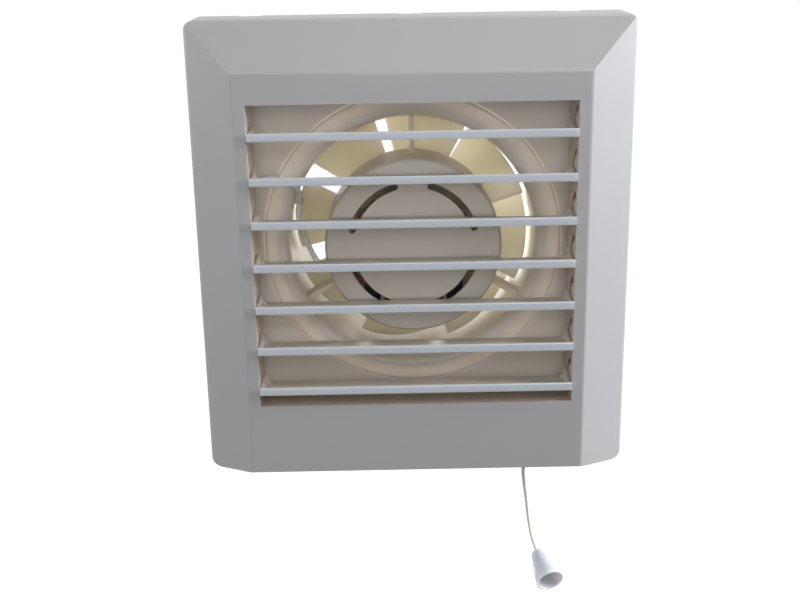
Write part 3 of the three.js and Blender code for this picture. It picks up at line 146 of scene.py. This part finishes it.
def within(tree, limits):
    """1 where all (axis, low, high) limits in millimetres hold. R is how far it is from the duct's axis."""
    place = add_node(tree, "TexCoord").outputs["Object"]
    axes = add_node(tree, "SeparateXYZ", {0: place}).outputs
    flat = add_node(tree, "VectorMath", {0: place, 1: (1, 0, 1)}, operation="MULTIPLY").outputs[0]
    radius = add_node(tree, "VectorMath", {0: flat}, operation="LENGTH").outputs["Value"]
    inside = None
    for axis, low, high in limits:
        along = radius if axis == "R" else axes[axis]
        offset = add_node(tree, "Math", {0: along, 1: (low + high) / 2 * MM}, operation="SUBTRACT")
        away = add_node(tree, "Math", {0: offset.outputs[0]}, operation="ABSOLUTE").outputs[0]
        half = (high - low) / 2
        part = add_node(tree, "MapRange", {
            "Value": away, "From Min": (half - SOFT_LIMIT_MM) * MM, "From Max": (half + SOFT_LIMIT_MM) * MM,
            "To Min": 1.0, "To Max": 0.0}).outputs["Result"]
        if inside is None:
            inside = part
        else:
            inside = add_node(tree, "Math", {0: inside, 1: part}, operation="MULTIPLY").outputs[0]
    return inside


def by_openness(tree, reach_mm, closed, at_closed, at_open):
    """Runs from at_closed in a crevice to at_open on a free face. reach_mm says how far the spot looks."""
    sky = add_node(tree, "AmbientOcclusion", {"Distance": reach_mm * MM}, samples=6).outputs["AO"]
    return add_node(tree, "MapRange", {"Value": sky, "From Min": closed, "From Max": 0.75,
                                       "To Min": at_closed, "To Max": at_open}).outputs["Result"]


print("the warm tone fills", OPENING[0][2] - OPENING[0][1], "mm of the panel's width")

# %% [markdown]
# ## Finishes
# The shell, slats, duct and wheel are injection-moulded. Moulded plastic has a faint mottle, a slightly
# uneven sheen, a fine spark-eroded texture and edges that are a little rounded, and thin walls let some
# light through. All of these have the same build, so one function makes them. Its extras are a second tone
# in one place, painted shade in crevices, and a glow painted into a narrow gap to fill its shadow.
# %% How moulded plastic is built
PLASTIC_IOR = 1.53
PATCH_MM, SHEEN_MM, GRAIN_MM = 26, 9, 0.35
GRAIN_DEPTH_MM = 0.06
SCATTER = (1.0, 0.9, 0.75)
SCATTER_DEPTH = 4 * MM
PAINTED_GLOW_REACH_MM = 1.5


def moulded_plastic(name, light, dark, roughness, texture=0.05, edge_mm=0.35, glow=0.0, second=None,
                    painted_crevice_shade_mm=0.0, painted_gap_glow=None):
    """second is a tone and its places, and seam lists the places where a gap glows, painted light that fills
    its shadow.
    """
    material, tree, shader, _ = new_material(name)
    colour = two_tone(tree, mottle(tree, PATCH_MM, 3), light, dark)
    if second:
        tone, places = second
        inputs = {0: within(tree, places), 6: colour, 7: linear(tone)}
        colour = add_node(tree, "Mix", inputs, data_type="RGBA").outputs[2]
    # Painted shade: the colour darkens where the surface is closed in, such as slots and rims.
    if painted_crevice_shade_mm:
        shade = by_openness(tree, painted_crevice_shade_mm, 0.35, 0.12, 1.0)
        colour = add_node(tree, "VectorMath", {0: colour, 1: shade}, operation="MULTIPLY").outputs[0]
    # Painted light: the surface glows in its own colour where a narrow gap would lie in shadow.
    if painted_gap_glow:
        lit = by_openness(tree, PAINTED_GLOW_REACH_MM, 0.3, 0.28, 0.0)
        near = add_node(tree, "Math", {0: lit, 1: within(tree, painted_gap_glow)}, operation="MULTIPLY").outputs[0]
        tree.links.new(colour, shader.inputs["Emission Color"])
        tree.links.new(near, shader.inputs["Emission Strength"])
    tree.links.new(colour, shader.inputs["Base Color"])
    uneven_sheen(tree, shader, mottle(tree, SHEEN_MM, 1), roughness - 0.02, roughness + 0.02)
    relief(tree, shader, mottle(tree, GRAIN_MM, 2), texture, GRAIN_DEPTH_MM, edge_mm)
    shader.inputs["IOR"].default_value = PLASTIC_IOR
    if glow:
        shader.inputs["Subsurface Weight"].default_value = glow
        shader.inputs["Subsurface Radius"].default_value = SCATTER
        shader.inputs["Subsurface Scale"].default_value = SCATTER_DEPTH
    return material


FINISH = {}
print("light spreads", SCATTER_DEPTH / MM, "mm into the plastic")

# %% [markdown]
# White ABS is a tough, slightly creamy plastic. The cover is satin: its faces show a soft grey and no clear
# reflection.
# The slats come from a polished mould, so their lips are glossier and whiter, and their bluish tint is a
# painted reflection of cool light. The plate and the duct share one ivory; the tone is their own, and its
# lightness over the cover's white is painted light for the shade behind the opening. The disc and the arms
# of the motor are matt, and their whites are lighter still, painted light for the shade inside the cover.
# The bell is glossy.
# %% White and ivory ABS
# Inside the opening the cover takes a warm tone, which is painted bounce light.
FINISH["abs_white"] = moulded_plastic("White moulded ABS, satin", "#a3a3a5", "#9f9fa1", roughness=0.42,
                                      glow=0.2, edge_mm=0.15, second=("#c0afa1", OPENING))
# Behind the lips the slats take a beige tone, painted warm light bounced from the plate. The lips' bluish
# tint is a painted reflection of cool light.
FINISH["abs_bright"] = moulded_plastic("Bright white moulded ABS", "#b9bec6", "#b4b9c1", roughness=0.36,
                                       texture=0.0, edge_mm=0.15, glow=0.2,
                                       second=("#c7bfb5", BEHIND_THE_LIPS))
# Where the duct's flange meets the plate, both pieces glow in the gap, painted light that fills its dark
# line.
FINISH["abs_ivory"] = moulded_plastic("Ivory moulded ABS", "#faf2e9", "#f5ebe0", roughness=0.42, glow=0.04,
                                      second=("#9a928a", REAR_OF_PLATE), painted_gap_glow=PLATE_AT_FLANGE)
# The duct's wall is 1.5 mm thin, so more light comes through it than through the plate.
FINISH["duct_ivory"] = moulded_plastic("Ivory moulded ABS, thin", "#faf2e9", "#f5ebe0", roughness=0.42,
                                       glow=0.3, second=("#9a928a", OUTSIDE_OF_DUCT), painted_gap_glow=FLANGE_EDGE)
# The disc's white is lighter than the cover's, painted light for the shade it sits in, and painted shade
# darkens its slots and rim.
FINISH["hub_white"] = moulded_plastic("White moulded ABS, matt", "#d6cfc7", "#d0c9c0", roughness=0.46,
                                      painted_crevice_shade_mm=2.0)
# The can and its arms take an ivory near full white with more scatter, both lifted to paint light into the
# shade under the cover's top.
FINISH["arm_ivory"] = moulded_plastic("Ivory moulded ABS, matt", "#fff2e0", "#faebd7", roughness=0.46,
                                      glow=0.35)
FINISH["bell_white"] = moulded_plastic("Glossy white moulded ABS", "#c6c9d4", "#c0c3ce", roughness=0.25,
                                       texture=0.01, glow=0.7)
# The wheel is a little yellow, and glows warm where the light behind it comes through the blades.
FINISH["wheel_ivory"] = moulded_plastic("Ivory moulded fan wheel", "#fbf3dc", "#f4eace", roughness=0.3,
                                        glow=0.7)
print(len(FINISH), "kinds of ABS")

# %% [markdown]
# Nylon is a little duller than ABS and is used where parts rub. The switch body is a hard cream moulding
# that stands heat. PVC sleeves on the wires are soft, with a dull shine.
# %% Nylon, switch body and wire sleeves
FINISH["nylon_white"] = moulded_plastic("Natural nylon", "#d6d4cd", "#cbc8bf", roughness=0.5)
FINISH["nylon_black"] = moulded_plastic("Black nylon", "#2b2a29", "#201f1e", roughness=0.5)
FINISH["switch_cream"] = moulded_plastic("Cream moulded switch body", "#cfc5b0", "#c4b9a2", roughness=0.42)
FINISH["pvc_white"] = moulded_plastic("White PVC sleeve", "#f2f3f0", "#e8e9e6", roughness=0.42, edge_mm=0.1)
FINISH["pvc_red"] = moulded_plastic("Red PVC sleeve", "#a8352c", "#972d26", roughness=0.42, edge_mm=0.1)
print(len(FINISH), "plastics")

# %% [markdown]
# Screws are zinc-plated, the wheel's nut is turned brass, the coil is enamelled copper and the bearings
# are sintered bronze. Fine scratches break up the reflections of each. Painted scratches would look
# printed, so one fine pattern changes both the height and the sheen, and is stretched where a lathe cut.
# %% Metals
def metal(name, light, dark, roughness=0.32, scratch=(1, 1, 1)):
    material, tree, shader, _ = new_material(name)
    tree.links.new(two_tone(tree, mottle(tree, 4, 4), light, dark), shader.inputs["Base Color"])
    streak = mottle(tree, 0.5, 4, scratch)
    uneven_sheen(tree, shader, streak, roughness - 0.08, roughness + 0.1)
    relief(tree, shader, streak, 0.08, 0.04, edge_mm=0.15)
    shader.inputs["Metallic"].default_value = 1.0
    return material


FINISH["steel"] = metal("Zinc-plated steel", "#c3c6ca", "#a9adb2")
FINISH["brass"] = metal("Turned brass", "#c9a85c", "#b18f45", scratch=(1, 8, 1))
FINISH["copper"] = metal("Enamelled copper", "#b8683f", "#9c5230", roughness=0.3)
FINISH["bronze"] = metal("Sintered bronze", "#a07d49", "#86663a", roughness=0.42)
print(len(FINISH), "finishes with the metals")

# %% [markdown]
# The motor's core is a pile of half-millimetre steel sheets, and their edges show as fine dark lines.
# Dozens of modelled sheets would cost far more than they show, so a wave pattern draws them at their
# real spacing. A wave pattern of scale 1 repeats after WAVE, and the scale follows from that.
# %% Stacked sheets
SHEET_MM = 0.5
WAVE = 2 * math.pi / 20


def stacked_sheets(name):
    material, tree, shader, _ = new_material(name)
    place = add_node(tree, "TexCoord").outputs["Object"]
    lines = add_node(tree, "TexWave", {"Vector": place, "Scale": WAVE / (SHEET_MM * MM)},
                     bands_direction="Y").outputs["Fac"]
    tree.links.new(two_tone(tree, lines, "#7d7f82", "#3c3d40"), shader.inputs["Base Color"])
    uneven_sheen(tree, shader, mottle(tree, 2, 3), 0.35, 0.5)
    relief(tree, shader, lines, 0.3, 0.1)
    shader.inputs["Metallic"].default_value = 1.0
    return material


FINISH["lamination"] = stacked_sheets("Stacked silicon-steel sheets")
print("two sheets in each", 2 * SHEET_MM, "mm of the core")

# %% [markdown]
# The cord is braided polyester. Two crossed bands raise its strands, one for each way round, and give the
# grooves between the strands a darker tone, which is painted shade. Real woven strands would be finer than a
# pixel here, so the crossing bands are enough. The pattern runs along the cord's own length, because a
# pattern in space would not bend with it. It repeats at a strand's real spacing, both along the cord and
# round it.
# %% Braided cord
CORD_MM, CORD_D_MM = 42.5, 1.4
STRAND_ANGLE = 38
STRAND_ALONG_MM, STRAND_ROUND_MM = 0.353, 0.7


def braid(name, light, dark):
    material, tree, shader, _ = new_material(name)
    length_and_round = add_node(tree, "TexCoord").outputs["UV"]
    slope = math.radians(STRAND_ANGLE)
    along, round_it = CORD_MM / STRAND_ALONG_MM, math.pi * CORD_D_MM / STRAND_ROUND_MM
    scale = (WAVE * along / math.cos(slope), WAVE * round_it / math.sin(slope), 1)
    bands = []
    for turn in (slope, -slope):
        turned = add_node(tree, "Mapping", {"Vector": length_and_round, "Rotation": (0, 0, turn),
                                            "Scale": scale}).outputs["Vector"]
        bands.append(add_node(tree, "TexWave", {"Vector": turned, "Scale": 1.0}).outputs["Fac"])
    crossed = add_node(tree, "Math", {0: bands[0], 1: bands[1]}, operation="MAXIMUM").outputs[0]
    fuzz = add_node(tree, "Math", {0: crossed, 1: mottle(tree, 0.5, 4)}, operation="MULTIPLY").outputs[0]
    # Painted shade: the grooves between the strands take the dark tone.
    tree.links.new(two_tone(tree, crossed, dark, light), shader.inputs["Base Color"])
    relief(tree, shader, fuzz, 0.5, 0.1)
    shader.inputs["Roughness"].default_value = 0.85
    shader.inputs["Sheen Weight"].default_value = 0.1
    return material


FINISH["cord_white"] = braid("Braided polyester cord", "#dddcd2", "#c6c4ba")
print("strands along the cord:", round(CORD_MM / STRAND_ALONG_MM))

# %% [markdown]
# ## Dress the CAD pieces
# Each node takes the finish of its slot. The disc and the can with its arms take lighter copies of their
# plastic, painted light for the shade they sit in. The duct takes an ivory made for its thin wall, and the
# switch body takes its own cream.
# %% Give every node its finish
SLOT_OF = {part["node"]: part["material_slot"] for part in frame["record"]["subparts"]}
OWN_FINISH = {"motor_cover": "hub_white", "motor_housing": "arm_ivory", "duct": "duct_ivory",
              "pull_switch_body": "switch_cream"}
for name, piece in NODES.items():
    piece.data.materials.clear()
    piece.data.materials.append(FINISH[OWN_FINISH.get(name, SLOT_OF[name])])
print(len(OWN_FINISH), "nodes have a finish of their own")

# %% [markdown]
# The solids come as loose triangles. Rounded faces have to shade as one, and flat faces have to stay
# flat right up to their edges. Smooth shading alone leaves wedges of false shade on the bevels, so the
# corners are joined, the mesh is split where faces meet at over 30 degrees, and large faces lead the
# shading. The shapes themselves don't change.
# %% Shade the faces
for piece in NODES.values():
    if "custom_normal" in piece.data.attributes:
        piece.data.attributes.remove(piece.data.attributes["custom_normal"])
    piece.data.shade_smooth()
    piece.modifiers.new("Weld", "WELD").merge_threshold = 1e-6
    crease = piece.modifiers.new("Creases", "EDGE_SPLIT")
    crease.split_angle = math.radians(30)
    crease.use_edge_sharp = False
    even = piece.modifiers.new("Even normals", "WEIGHTED_NORMAL")
    even.weight = 100
    even.thresh = 0.01
print("vertices in front_cover:", len(NODES["front_cover"].data.vertices))

# %% [markdown]
# ## Tools for finer pieces
# The hub and the bell are round, so a lathe makes them: it turns a profile about an axis. The leads and
# the cord are tubes on a smooth curve. A finer piece then stands for its CAD node: it rides on the same
# body, takes a finish and hides the plain solid.
# %% Lathe and rounded edges
def lathe(mesh, profile, place, sides=96):
    """Revolves (radius, along) points about the Z axis of place. A point on the axis closes the end."""
    rings = []
    for radius, along in profile:
        if radius == 0:
            rings.append([mesh.verts.new(place @ Vector((0, 0, along)))] * sides)
            continue
        angles = [2 * math.pi * k / sides for k in range(sides)]
        rings.append([mesh.verts.new(place @ Vector((radius * math.cos(a), radius * math.sin(a), along)))
                      for a in angles])
    for first, second in zip(rings, rings[1:]):
        for k in range(sides):
            corners = [first[k], first[(k + 1) % sides], second[(k + 1) % sides], second[k]]
            mesh.faces.new(list(dict.fromkeys(corners)))


def arc(centre, radius, start, end, steps=6):
    """Points of a round edge in a profile, angles in degrees."""
    angles = [math.radians(start + (end - start) * k / steps) for k in range(steps + 1)]
    return [(centre[0] + radius * math.cos(a), centre[1] + radius * math.sin(a)) for a in angles]


print("a quarter round has", len(arc((0, 0), 1, 0, 90)), "points")

# %% [markdown]
# A mesh needs its faces turned outwards and its edges marked before it is shown. A tube needs only its
# route: the curve keeps its round section everywhere, which a swept mesh would have to be told.
# %% New pieces, tubes and the hand-over
BODY_OF = {node: body for body, nodes in frame["record"]["behaviour"]["bodies"].items() for node in nodes}


def new_piece(name, mesh, sharp=40):
    bmesh.ops.recalc_face_normals(mesh, faces=mesh.faces)
    data = bpy.data.meshes.new(name)
    mesh.to_mesh(data)
    mesh.free()
    data.shade_smooth()
    data.set_sharp_from_angle(angle=math.radians(sharp))
    piece = bpy.data.objects.new(name, data)
    bpy.context.scene.collection.objects.link(piece)
    return piece


def tube(name, points_mm, diameter_mm):
    """A round tube on a smooth curve through points in millimetres."""
    curve = bpy.data.curves.new(name, "CURVE")
    curve.dimensions = "3D"
    curve.resolution_u = 10
    curve.bevel_depth = diameter_mm * MM / 2
    curve.bevel_resolution = 5
    curve.use_fill_caps = True
    spline = curve.splines.new("BEZIER")
    spline.bezier_points.add(len(points_mm) - 1)
    for knot, point in zip(spline.bezier_points, points_mm):
        knot.co = [v * MM for v in point]
        knot.handle_left_type = knot.handle_right_type = "AUTO"
    piece = bpy.data.objects.new(name, curve)
    bpy.context.scene.collection.objects.link(piece)
    return piece


def stand_in(piece, finish, node):
    """Gives a finer piece its finish, and lets it replace the CAD node it stands for."""
    piece.data.materials.append(FINISH[finish])
    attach(piece, BODY_OF[node])
    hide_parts(node)
    return piece


print(len(BODY_OF), "nodes have a body")

# %% [markdown]
# ## Fan wheel
# Eight blades are twisted round the hub. Each keeps the same arc and the same depth at every radius, so
# it is steep at the hub and flat at the tip, as an air screw is. The section is cambered, with a round
# front edge and a thin rear one. A flat plate that is bent and twisted would look much the same from the
# front, but the light on the round front edges shows the difference, so each section is drawn in full.
# %% One section of a blade
BLADE_ARC = math.radians(40.5)
BLADE_DEPTH = 16 * MM
BLADE_MID_Y = 22 * MM
BLADE_T = 1.35 * MM
CAMBER = 0.07
SECTION_POINTS = 28


def blade_ring(mesh, radius, turn):
    """One section of a blade, wrapped round the axis at this radius."""
    reach = BLADE_ARC * radius
    chord, pitch = math.hypot(reach, BLADE_DEPTH), math.atan2(BLADE_DEPTH, reach)
    ring = []
    for k in range(SECTION_POINTS):
        a = 2 * math.pi * k / SECTION_POINTS
        u = 0.5 * math.cos(a)
        swell = math.copysign(abs(math.sin(a)) ** 0.6, math.sin(a)) * (0.5 - 0.22 * u)
        t = swell * BLADE_T + CAMBER * (1 - 4 * u * u) * chord
        y = BLADE_MID_Y + u * chord * math.sin(pitch) - t * math.cos(pitch)
        angle = turn + (u * chord * math.cos(pitch) + t * math.sin(pitch)) / radius
        ring.append(mesh.verts.new((radius * math.cos(angle), y, radius * math.sin(angle))))
    return ring


print("a blade covers", round(math.degrees(BLADE_ARC), 1), "degrees")

# %% [markdown]
# The hub is a cup, open at the rear, with a core for the shaft and four webs between core and wall. The
# blades run into its wall. The lathe makes the cup, and the gap to the duct comes from the CAD wheel's
# own width, so the finer wheel can't touch the duct.
# %% Hub, webs and blades
TIP_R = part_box("impeller")[1][0]
HUB_R = 21 * MM
HUB_FRONT, HUB_REAR = 14 * MM, 33 * MM
HUB_WALL, HUB_EDGE_R = 1.8 * MM, 2 * MM
CORE_R, SHAFT_HOLE_R = 5.5 * MM, 2.3 * MM
WEB_COUNT, WEB_DEPTH, WEB_T, WEB_SINK = 4, 14 * MM, 1.4 * MM, 0.6 * MM
BLADE_COUNT, FIRST_BLADE, BLADE_STEPS = 8, math.radians(38), 24
ALONG_Y = Matrix.Rotation(math.radians(-90), 4, "X")


def add_hub(mesh):
    edge = arc((HUB_R - HUB_EDGE_R, HUB_FRONT + HUB_EDGE_R), HUB_EDGE_R, -90, 0, 8)
    cup = HUB_R - HUB_WALL
    floor_y = HUB_FRONT + HUB_WALL
    profile = [(SHAFT_HOLE_R, HUB_FRONT)] + edge + [
        (HUB_R, HUB_REAR), (cup, HUB_REAR), (cup, floor_y), (CORE_R, floor_y), (CORE_R, HUB_REAR),
        (SHAFT_HOLE_R, HUB_REAR), (SHAFT_HOLE_R, HUB_FRONT)]
    lathe(mesh, profile, ALONG_Y)


def add_blade(mesh, turn):
    root = HUB_R - HUB_WALL / 2
    radii = [root + (TIP_R - root) * k / BLADE_STEPS for k in range(BLADE_STEPS + 1)]
    rings = [blade_ring(mesh, radius, turn) for radius in radii]
    for first, second in zip(rings, rings[1:]):
        for k in range(SECTION_POINTS):
            n = (k + 1) % SECTION_POINTS
            mesh.faces.new([first[k], first[n], second[n], second[k]])
    mesh.faces.new(rings[-1])


def add_web(mesh, turn):
    slab = bmesh.ops.create_cube(mesh, size=1)["verts"]
    middle = (CORE_R + HUB_R - HUB_WALL) / 2
    shape = Matrix.Diagonal((HUB_R - HUB_WALL - CORE_R + WEB_SINK, WEB_DEPTH, WEB_T, 1))
    place = Matrix.Rotation(turn, 4, "Y") @ Matrix.Translation((middle, BLADE_MID_Y, 0)) @ shape
    bmesh.ops.transform(mesh, matrix=place, verts=slab)


wheel_mesh = bmesh.new()
add_hub(wheel_mesh)
for blade in range(BLADE_COUNT):
    add_blade(wheel_mesh, FIRST_BLADE + 2 * math.pi * blade / BLADE_COUNT)
for web in range(WEB_COUNT):
    add_web(wheel_mesh, 2 * math.pi * web / WEB_COUNT)
wheel = stand_in(new_piece("fan_wheel_fine", wheel_mesh), "wheel_ivory", "impeller")
print("fan wheel:", len(wheel.data.polygons), "faces, tip radius", round(TIP_R / MM, 1), "mm")

# %% [markdown]
# ## Pull cord and bell
# The free cord is 42.5 mm long. It leaves the eyelet straight down, then bends towards the room, where
# the bell hangs on its knot. It could be left to fall by a simulation, but then it would hang as a plumb
# line. The real one keeps a set from its packing, so its route is a list of points.
# %% Pull cord
CORD_EXIT_MM = (43.0, -12.5, -85.8)
CORD_ROUTE_MM = [
    (0, 0, 0), (0, 0, -2.8), (-0.1, 0, -5.7), (-0.1, 0, -8.5), (0.2, 0, -11.3), (0.5, -0.1, -14.2),
    (0.9, -0.2, -17), (1.3, -0.3, -19.8), (1.6, -0.6, -22.7), (1.9, -1, -25.4), (2.2, -1.7, -28.1),
    (2.6, -2.6, -30.9), (3, -3.8, -33.4), (3.6, -5.3, -35.6), (4.3, -7.3, -37.5), (5, -9.5, -39)]
cord_points = [tuple(a + b for a, b in zip(CORD_EXIT_MM, point)) for point in CORD_ROUTE_MM]
cord = stand_in(tube("pull_cord_fine", cord_points, CORD_D_MM), "cord_white", "pull_cord")

# %% [markdown]
# The bell is a thin cone with a rounded mouth. It tips towards the viewer, so its hollow shows, and
# inside it the cord's knot rests on its floor. A solid cone with a dark disc would look false from any
# other side. All sizes are in millimetres along the bell's own axis.
# %% Bell
BELL_L, BELL_R, BELL_TOP_R, BELL_WALL, BELL_HOLLOW = 14.2, 5.6, 3.2, 1.0, 10.0
BELL_SHOULDER_R, BELL_SKIRT = 0.75, 3.4
BELL_TOWARDS = Vector((0.25, -0.89, -0.37)).normalized()
BELL_GAP = 0.6


def bell(place):
    skirt, floor_at = BELL_L - BELL_SKIRT, BELL_L - BELL_HOLLOW
    outside = [(0, 0), (BELL_TOP_R * 0.6, 0)]
    outside += arc((BELL_TOP_R - 0.7, 0.8), BELL_SHOULDER_R, -70, -5, 5) + [(BELL_R - 0.2, skirt)]
    mouth = arc((BELL_R - BELL_WALL / 2, BELL_L - BELL_WALL / 2), BELL_WALL / 2, 0, 180, 8)
    inside = [(BELL_R - BELL_WALL - 0.35, skirt), (BELL_TOP_R + 0.1, floor_at + 0.3),
              (BELL_TOP_R - 0.3, floor_at), (0, floor_at)]
    mesh = bmesh.new()
    lathe(mesh, [(radius * MM, along * MM) for radius, along in outside + mouth + inside], place, 64)
    return new_piece("bell_fine", mesh)


bell_start = (Vector(cord_points[-1]) + BELL_TOWARDS * BELL_GAP) * MM
bell_place = Matrix.Translation(bell_start) @ BELL_TOWARDS.to_track_quat("Z", "Y").to_matrix().to_4x4()
bell_piece = stand_in(bell(bell_place), "bell_white", "cord_bell")
print("bell turned towards", tuple(round(v, 2) for v in BELL_TOWARDS))

# %% [markdown]
# The knot keeps the bell on the cord. It is small and half in shade, so a ball in the cord's finish does
# for it.
# %% Knot
KNOT_R, KNOT_LIFT = 1.25, 1.0
knot_mesh = bmesh.new()
knot_place = bell_place @ Matrix.Translation((0, 0, (BELL_L - BELL_HOLLOW + KNOT_LIFT) * MM))
bmesh.ops.create_uvsphere(knot_mesh, u_segments=20, v_segments=12, radius=KNOT_R * MM, matrix=knot_place)
knot = new_piece("cord_knot", knot_mesh)
knot.data.materials.append(FINISH["cord_white"])
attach(knot, "pull")
print("knot:", 2 * KNOT_R, "mm across")

# %% [markdown]
# ## Wires
# The leads are soft round sleeves. The motor's lead lies round the duct's edge and dips into the disc,
# where the coil's lead goes on. The plain solids are six-sided, which shows on a bright sleeve, so round
# tubes on the same routes stand for them. LEAD_OFF is how far the lead lies in front of the plate.
# %% Motor lead, coil lead and switch lead
LEAD_OFF = 4.8
MOTOR_LEAD_MM = [
    (-45.4, -6.6, -72), (-50, -6.5, -71), (-54, -5.8, -66), (-57, -5.2, -58.5), (-61.5, -LEAD_OFF, -50),
    (-62.5, -LEAD_OFF, -40), (-62.5, -LEAD_OFF, 5), (-62, -LEAD_OFF, 18), (-58.4, -LEAD_OFF - 0.2, 24.4),
    (-53, -LEAD_OFF - 0.2, 25.8), (-48.6, -LEAD_OFF - 0.1, 24.6), (-45.2, -LEAD_OFF, 22.8), (-43, -4, 20.2),
    (-43, -3.2, 16.2), (-43.6, -2.8, 12), (-43, -3, 7.8), (-41.9, -3.8, 3.6), (-39.6, -5.6, -1.4),
    (-36.9, -7.4, -6), (-34.4, -8.5, -8.4), (-31.6, -8.7, -8.15), (-29.2, -8.6, -7.8)]
COIL_LEAD_MM = [
    (-28.2, -8.4, -8), (-25.4, -8.2, -10.2), (-22.4, -8, -12.6), (-19, -8, -14.4), (-15.8, -8.2, -16),
    (-12.4, -8.4, -17.4), (-8.8, -8.2, -18)]
SWITCH_LEAD_MM = [
    (-14.6, -6.6, -71), (-8, -6.6, -71.6), (4, -6.8, -72.6), (18, -7, -73), (26, -7.2, -73),
    (32.6, -7.2, -73)]
for node, route, thick, finish in (("motor_lead", MOTOR_LEAD_MM, 2.0, "pvc_white"),
                                   ("coil_lead", COIL_LEAD_MM, 1.2, "pvc_red"),
                                   ("switch_lead", SWITCH_LEAD_MM, 2.0, "pvc_white")):
    stand_in(tube(node + "_fine", route, thick), finish, node)
    print(node, "is", round(sum(math.dist(a, b) for a, b in zip(route, route[1:]))), "mm long")

# %% [markdown]
# ## Setting
# The photograph shows the fan cut out on white. A pale floor lies well below it, since the fan hangs on
# a wall or window. A plain floor would come out grey, so it also shines a little, but only for rays from
# the camera and for reflections: it sends no extra light up on to the fan.
# %% Floor
FLOOR_HALF, FLOOR_Z = 6.0, -0.9


def any_ray(tree, *kinds):
    """1 for rays of these kinds and 0 for all others."""
    path = add_node(tree, "LightPath").outputs
    seen = path[kinds[0]]
    for kind in kinds[1:]:
        seen = add_node(tree, "Math", {0: seen, 1: path[kind]}, operation="MAXIMUM").outputs[0]
    return seen


def pale_floor():
    material, tree, shader, out = new_material("Pale floor")
    tree.links.new(two_tone(tree, mottle(tree, 60, 3), "#dededd", "#dadad9"), shader.inputs["Base Color"])
    shader.inputs["Roughness"].default_value = 0.7
    shine = add_node(tree, "Emission", {"Strength": 0.9}).outputs["Emission"]
    both = add_node(tree, "AddShader", {0: shader.outputs["BSDF"], 1: shine}).outputs["Shader"]
    pick = add_node(tree, "MixShader", {0: any_ray(tree, "Is Camera Ray", "Is Glossy Ray"),
                                        1: shader.outputs["BSDF"], 2: both})
    tree.links.new(pick.outputs["Shader"], out.inputs["Surface"])
    mesh = bpy.data.meshes.new("floor")
    corners = [(x * FLOOR_HALF, y * FLOOR_HALF, FLOOR_Z) for x, y in ((-1, -1), (1, -1), (1, 1), (-1, 1))]
    mesh.from_pydata(corners, [], [(0, 1, 2, 3)])
    mesh.materials.append(material)
    floor = bpy.data.objects.new("floor", mesh)
    bpy.context.scene.collection.objects.link(floor)
    return floor


pale_floor()
print("floor", FLOOR_Z, "m below the duct's axis")

# %% [markdown]
# The background is pure white to the camera, to reflections and through clear things, and only a dim,
# even light for everything else. A white sky that also lit the fan would wash out all its shade.
# %% Background
world = bpy.data.worlds.new("Studio")
bpy.context.scene.world = world
world.use_nodes = True
sky = world.node_tree
sky.nodes.clear()
dim = add_node(sky, "Background", {"Color": linear("#fcfdff"), "Strength": 0.16}).outputs[0]
white = add_node(sky, "Background", {"Color": (1, 1, 1, 1), "Strength": 1.0}).outputs[0]
pick = add_node(sky, "MixShader", {0: any_ray(sky, "Is Camera Ray", "Is Glossy Ray", "Is Transmission Ray"),
                                   1: dim, 2: white})
add_node(sky, "OutputWorld", {"Surface": pick.outputs[0]})
print("background nodes:", len(sky.nodes))

# %% [markdown]
# The lamps are soft squares. Two weak ones stand near the camera and light the face and the inside of
# the opening. One above lights the top bevel and the lips of the slats. The two at the sides are far off
# and strong, the right one most of all, because the right bevel is the brightest face of the real fan.
# The last stands behind, low on the left, and shines through the duct on to the wheel.
# %% Lamps
FAN_FACE = (0, 0, 0.02)
LAMPS = [
    ("front", (0, -0.5, 0.15), FAN_FACE, 0.25, 0.4, "#ffffff"),
    ("front_high", (0.02, -0.42, 0.26), FAN_FACE, 0.25, 0.26, "#ffffff"),
    ("above", (0.2, -0.12, 0.48), FAN_FACE, 0.3, 0.66, "#ffffff"),
    ("left", (-0.8, -0.15, 0.2), FAN_FACE, 0.4, 3.8, "#ffffff"),
    ("right", (0.9, -0.1, 0.3), FAN_FACE, 0.5, 19.0, "#fbfdff"),
    ("duct_light", (-0.12, 0.4, -0.14), (0, 0.02, 0), 0.4, 1.3, "#fffdf8")]
for name, place, target, size, power, colour in LAMPS:
    light = bpy.data.lights.new(name, "AREA")
    light.shape = "SQUARE"
    light.size = size
    light.energy = power
    light.color = linear(colour)[:3]
    lamp = bpy.data.objects.new(name, light)
    lamp.location = place
    lamp.rotation_euler = (Vector(target) - Vector(place)).to_track_quat("-Z", "Y").to_euler()
    bpy.context.scene.collection.objects.link(lamp)
    print(name, power, "W at", place)

# %% [markdown]
# ## Camera
# The view is from the room side, close and a little from above. A fit to the corners of the panel, the
# slats and the bore gave its place, turn and lens. Guessing them by eye would leave the slats' slants
# and the bore's place in the opening wrong.
# %% Camera
camera_data = bpy.data.cameras.new("camera")
camera_data.sensor_width = 36
camera_data.lens = 53.35
camera_data.clip_start = 0.01
camera = bpy.data.objects.new("camera", camera_data)
camera.location = (-0.00805, -0.44477, 0.11506)
camera.rotation_euler = [math.radians(a) for a in (72.524, 0.889, -0.636)]
bpy.context.scene.collection.objects.link(camera)
bpy.context.scene.camera = camera
bpy.context.scene.view_settings.view_transform = "Standard"
print("camera is", round(camera.location.length, 3), "m from the duct's mouth")
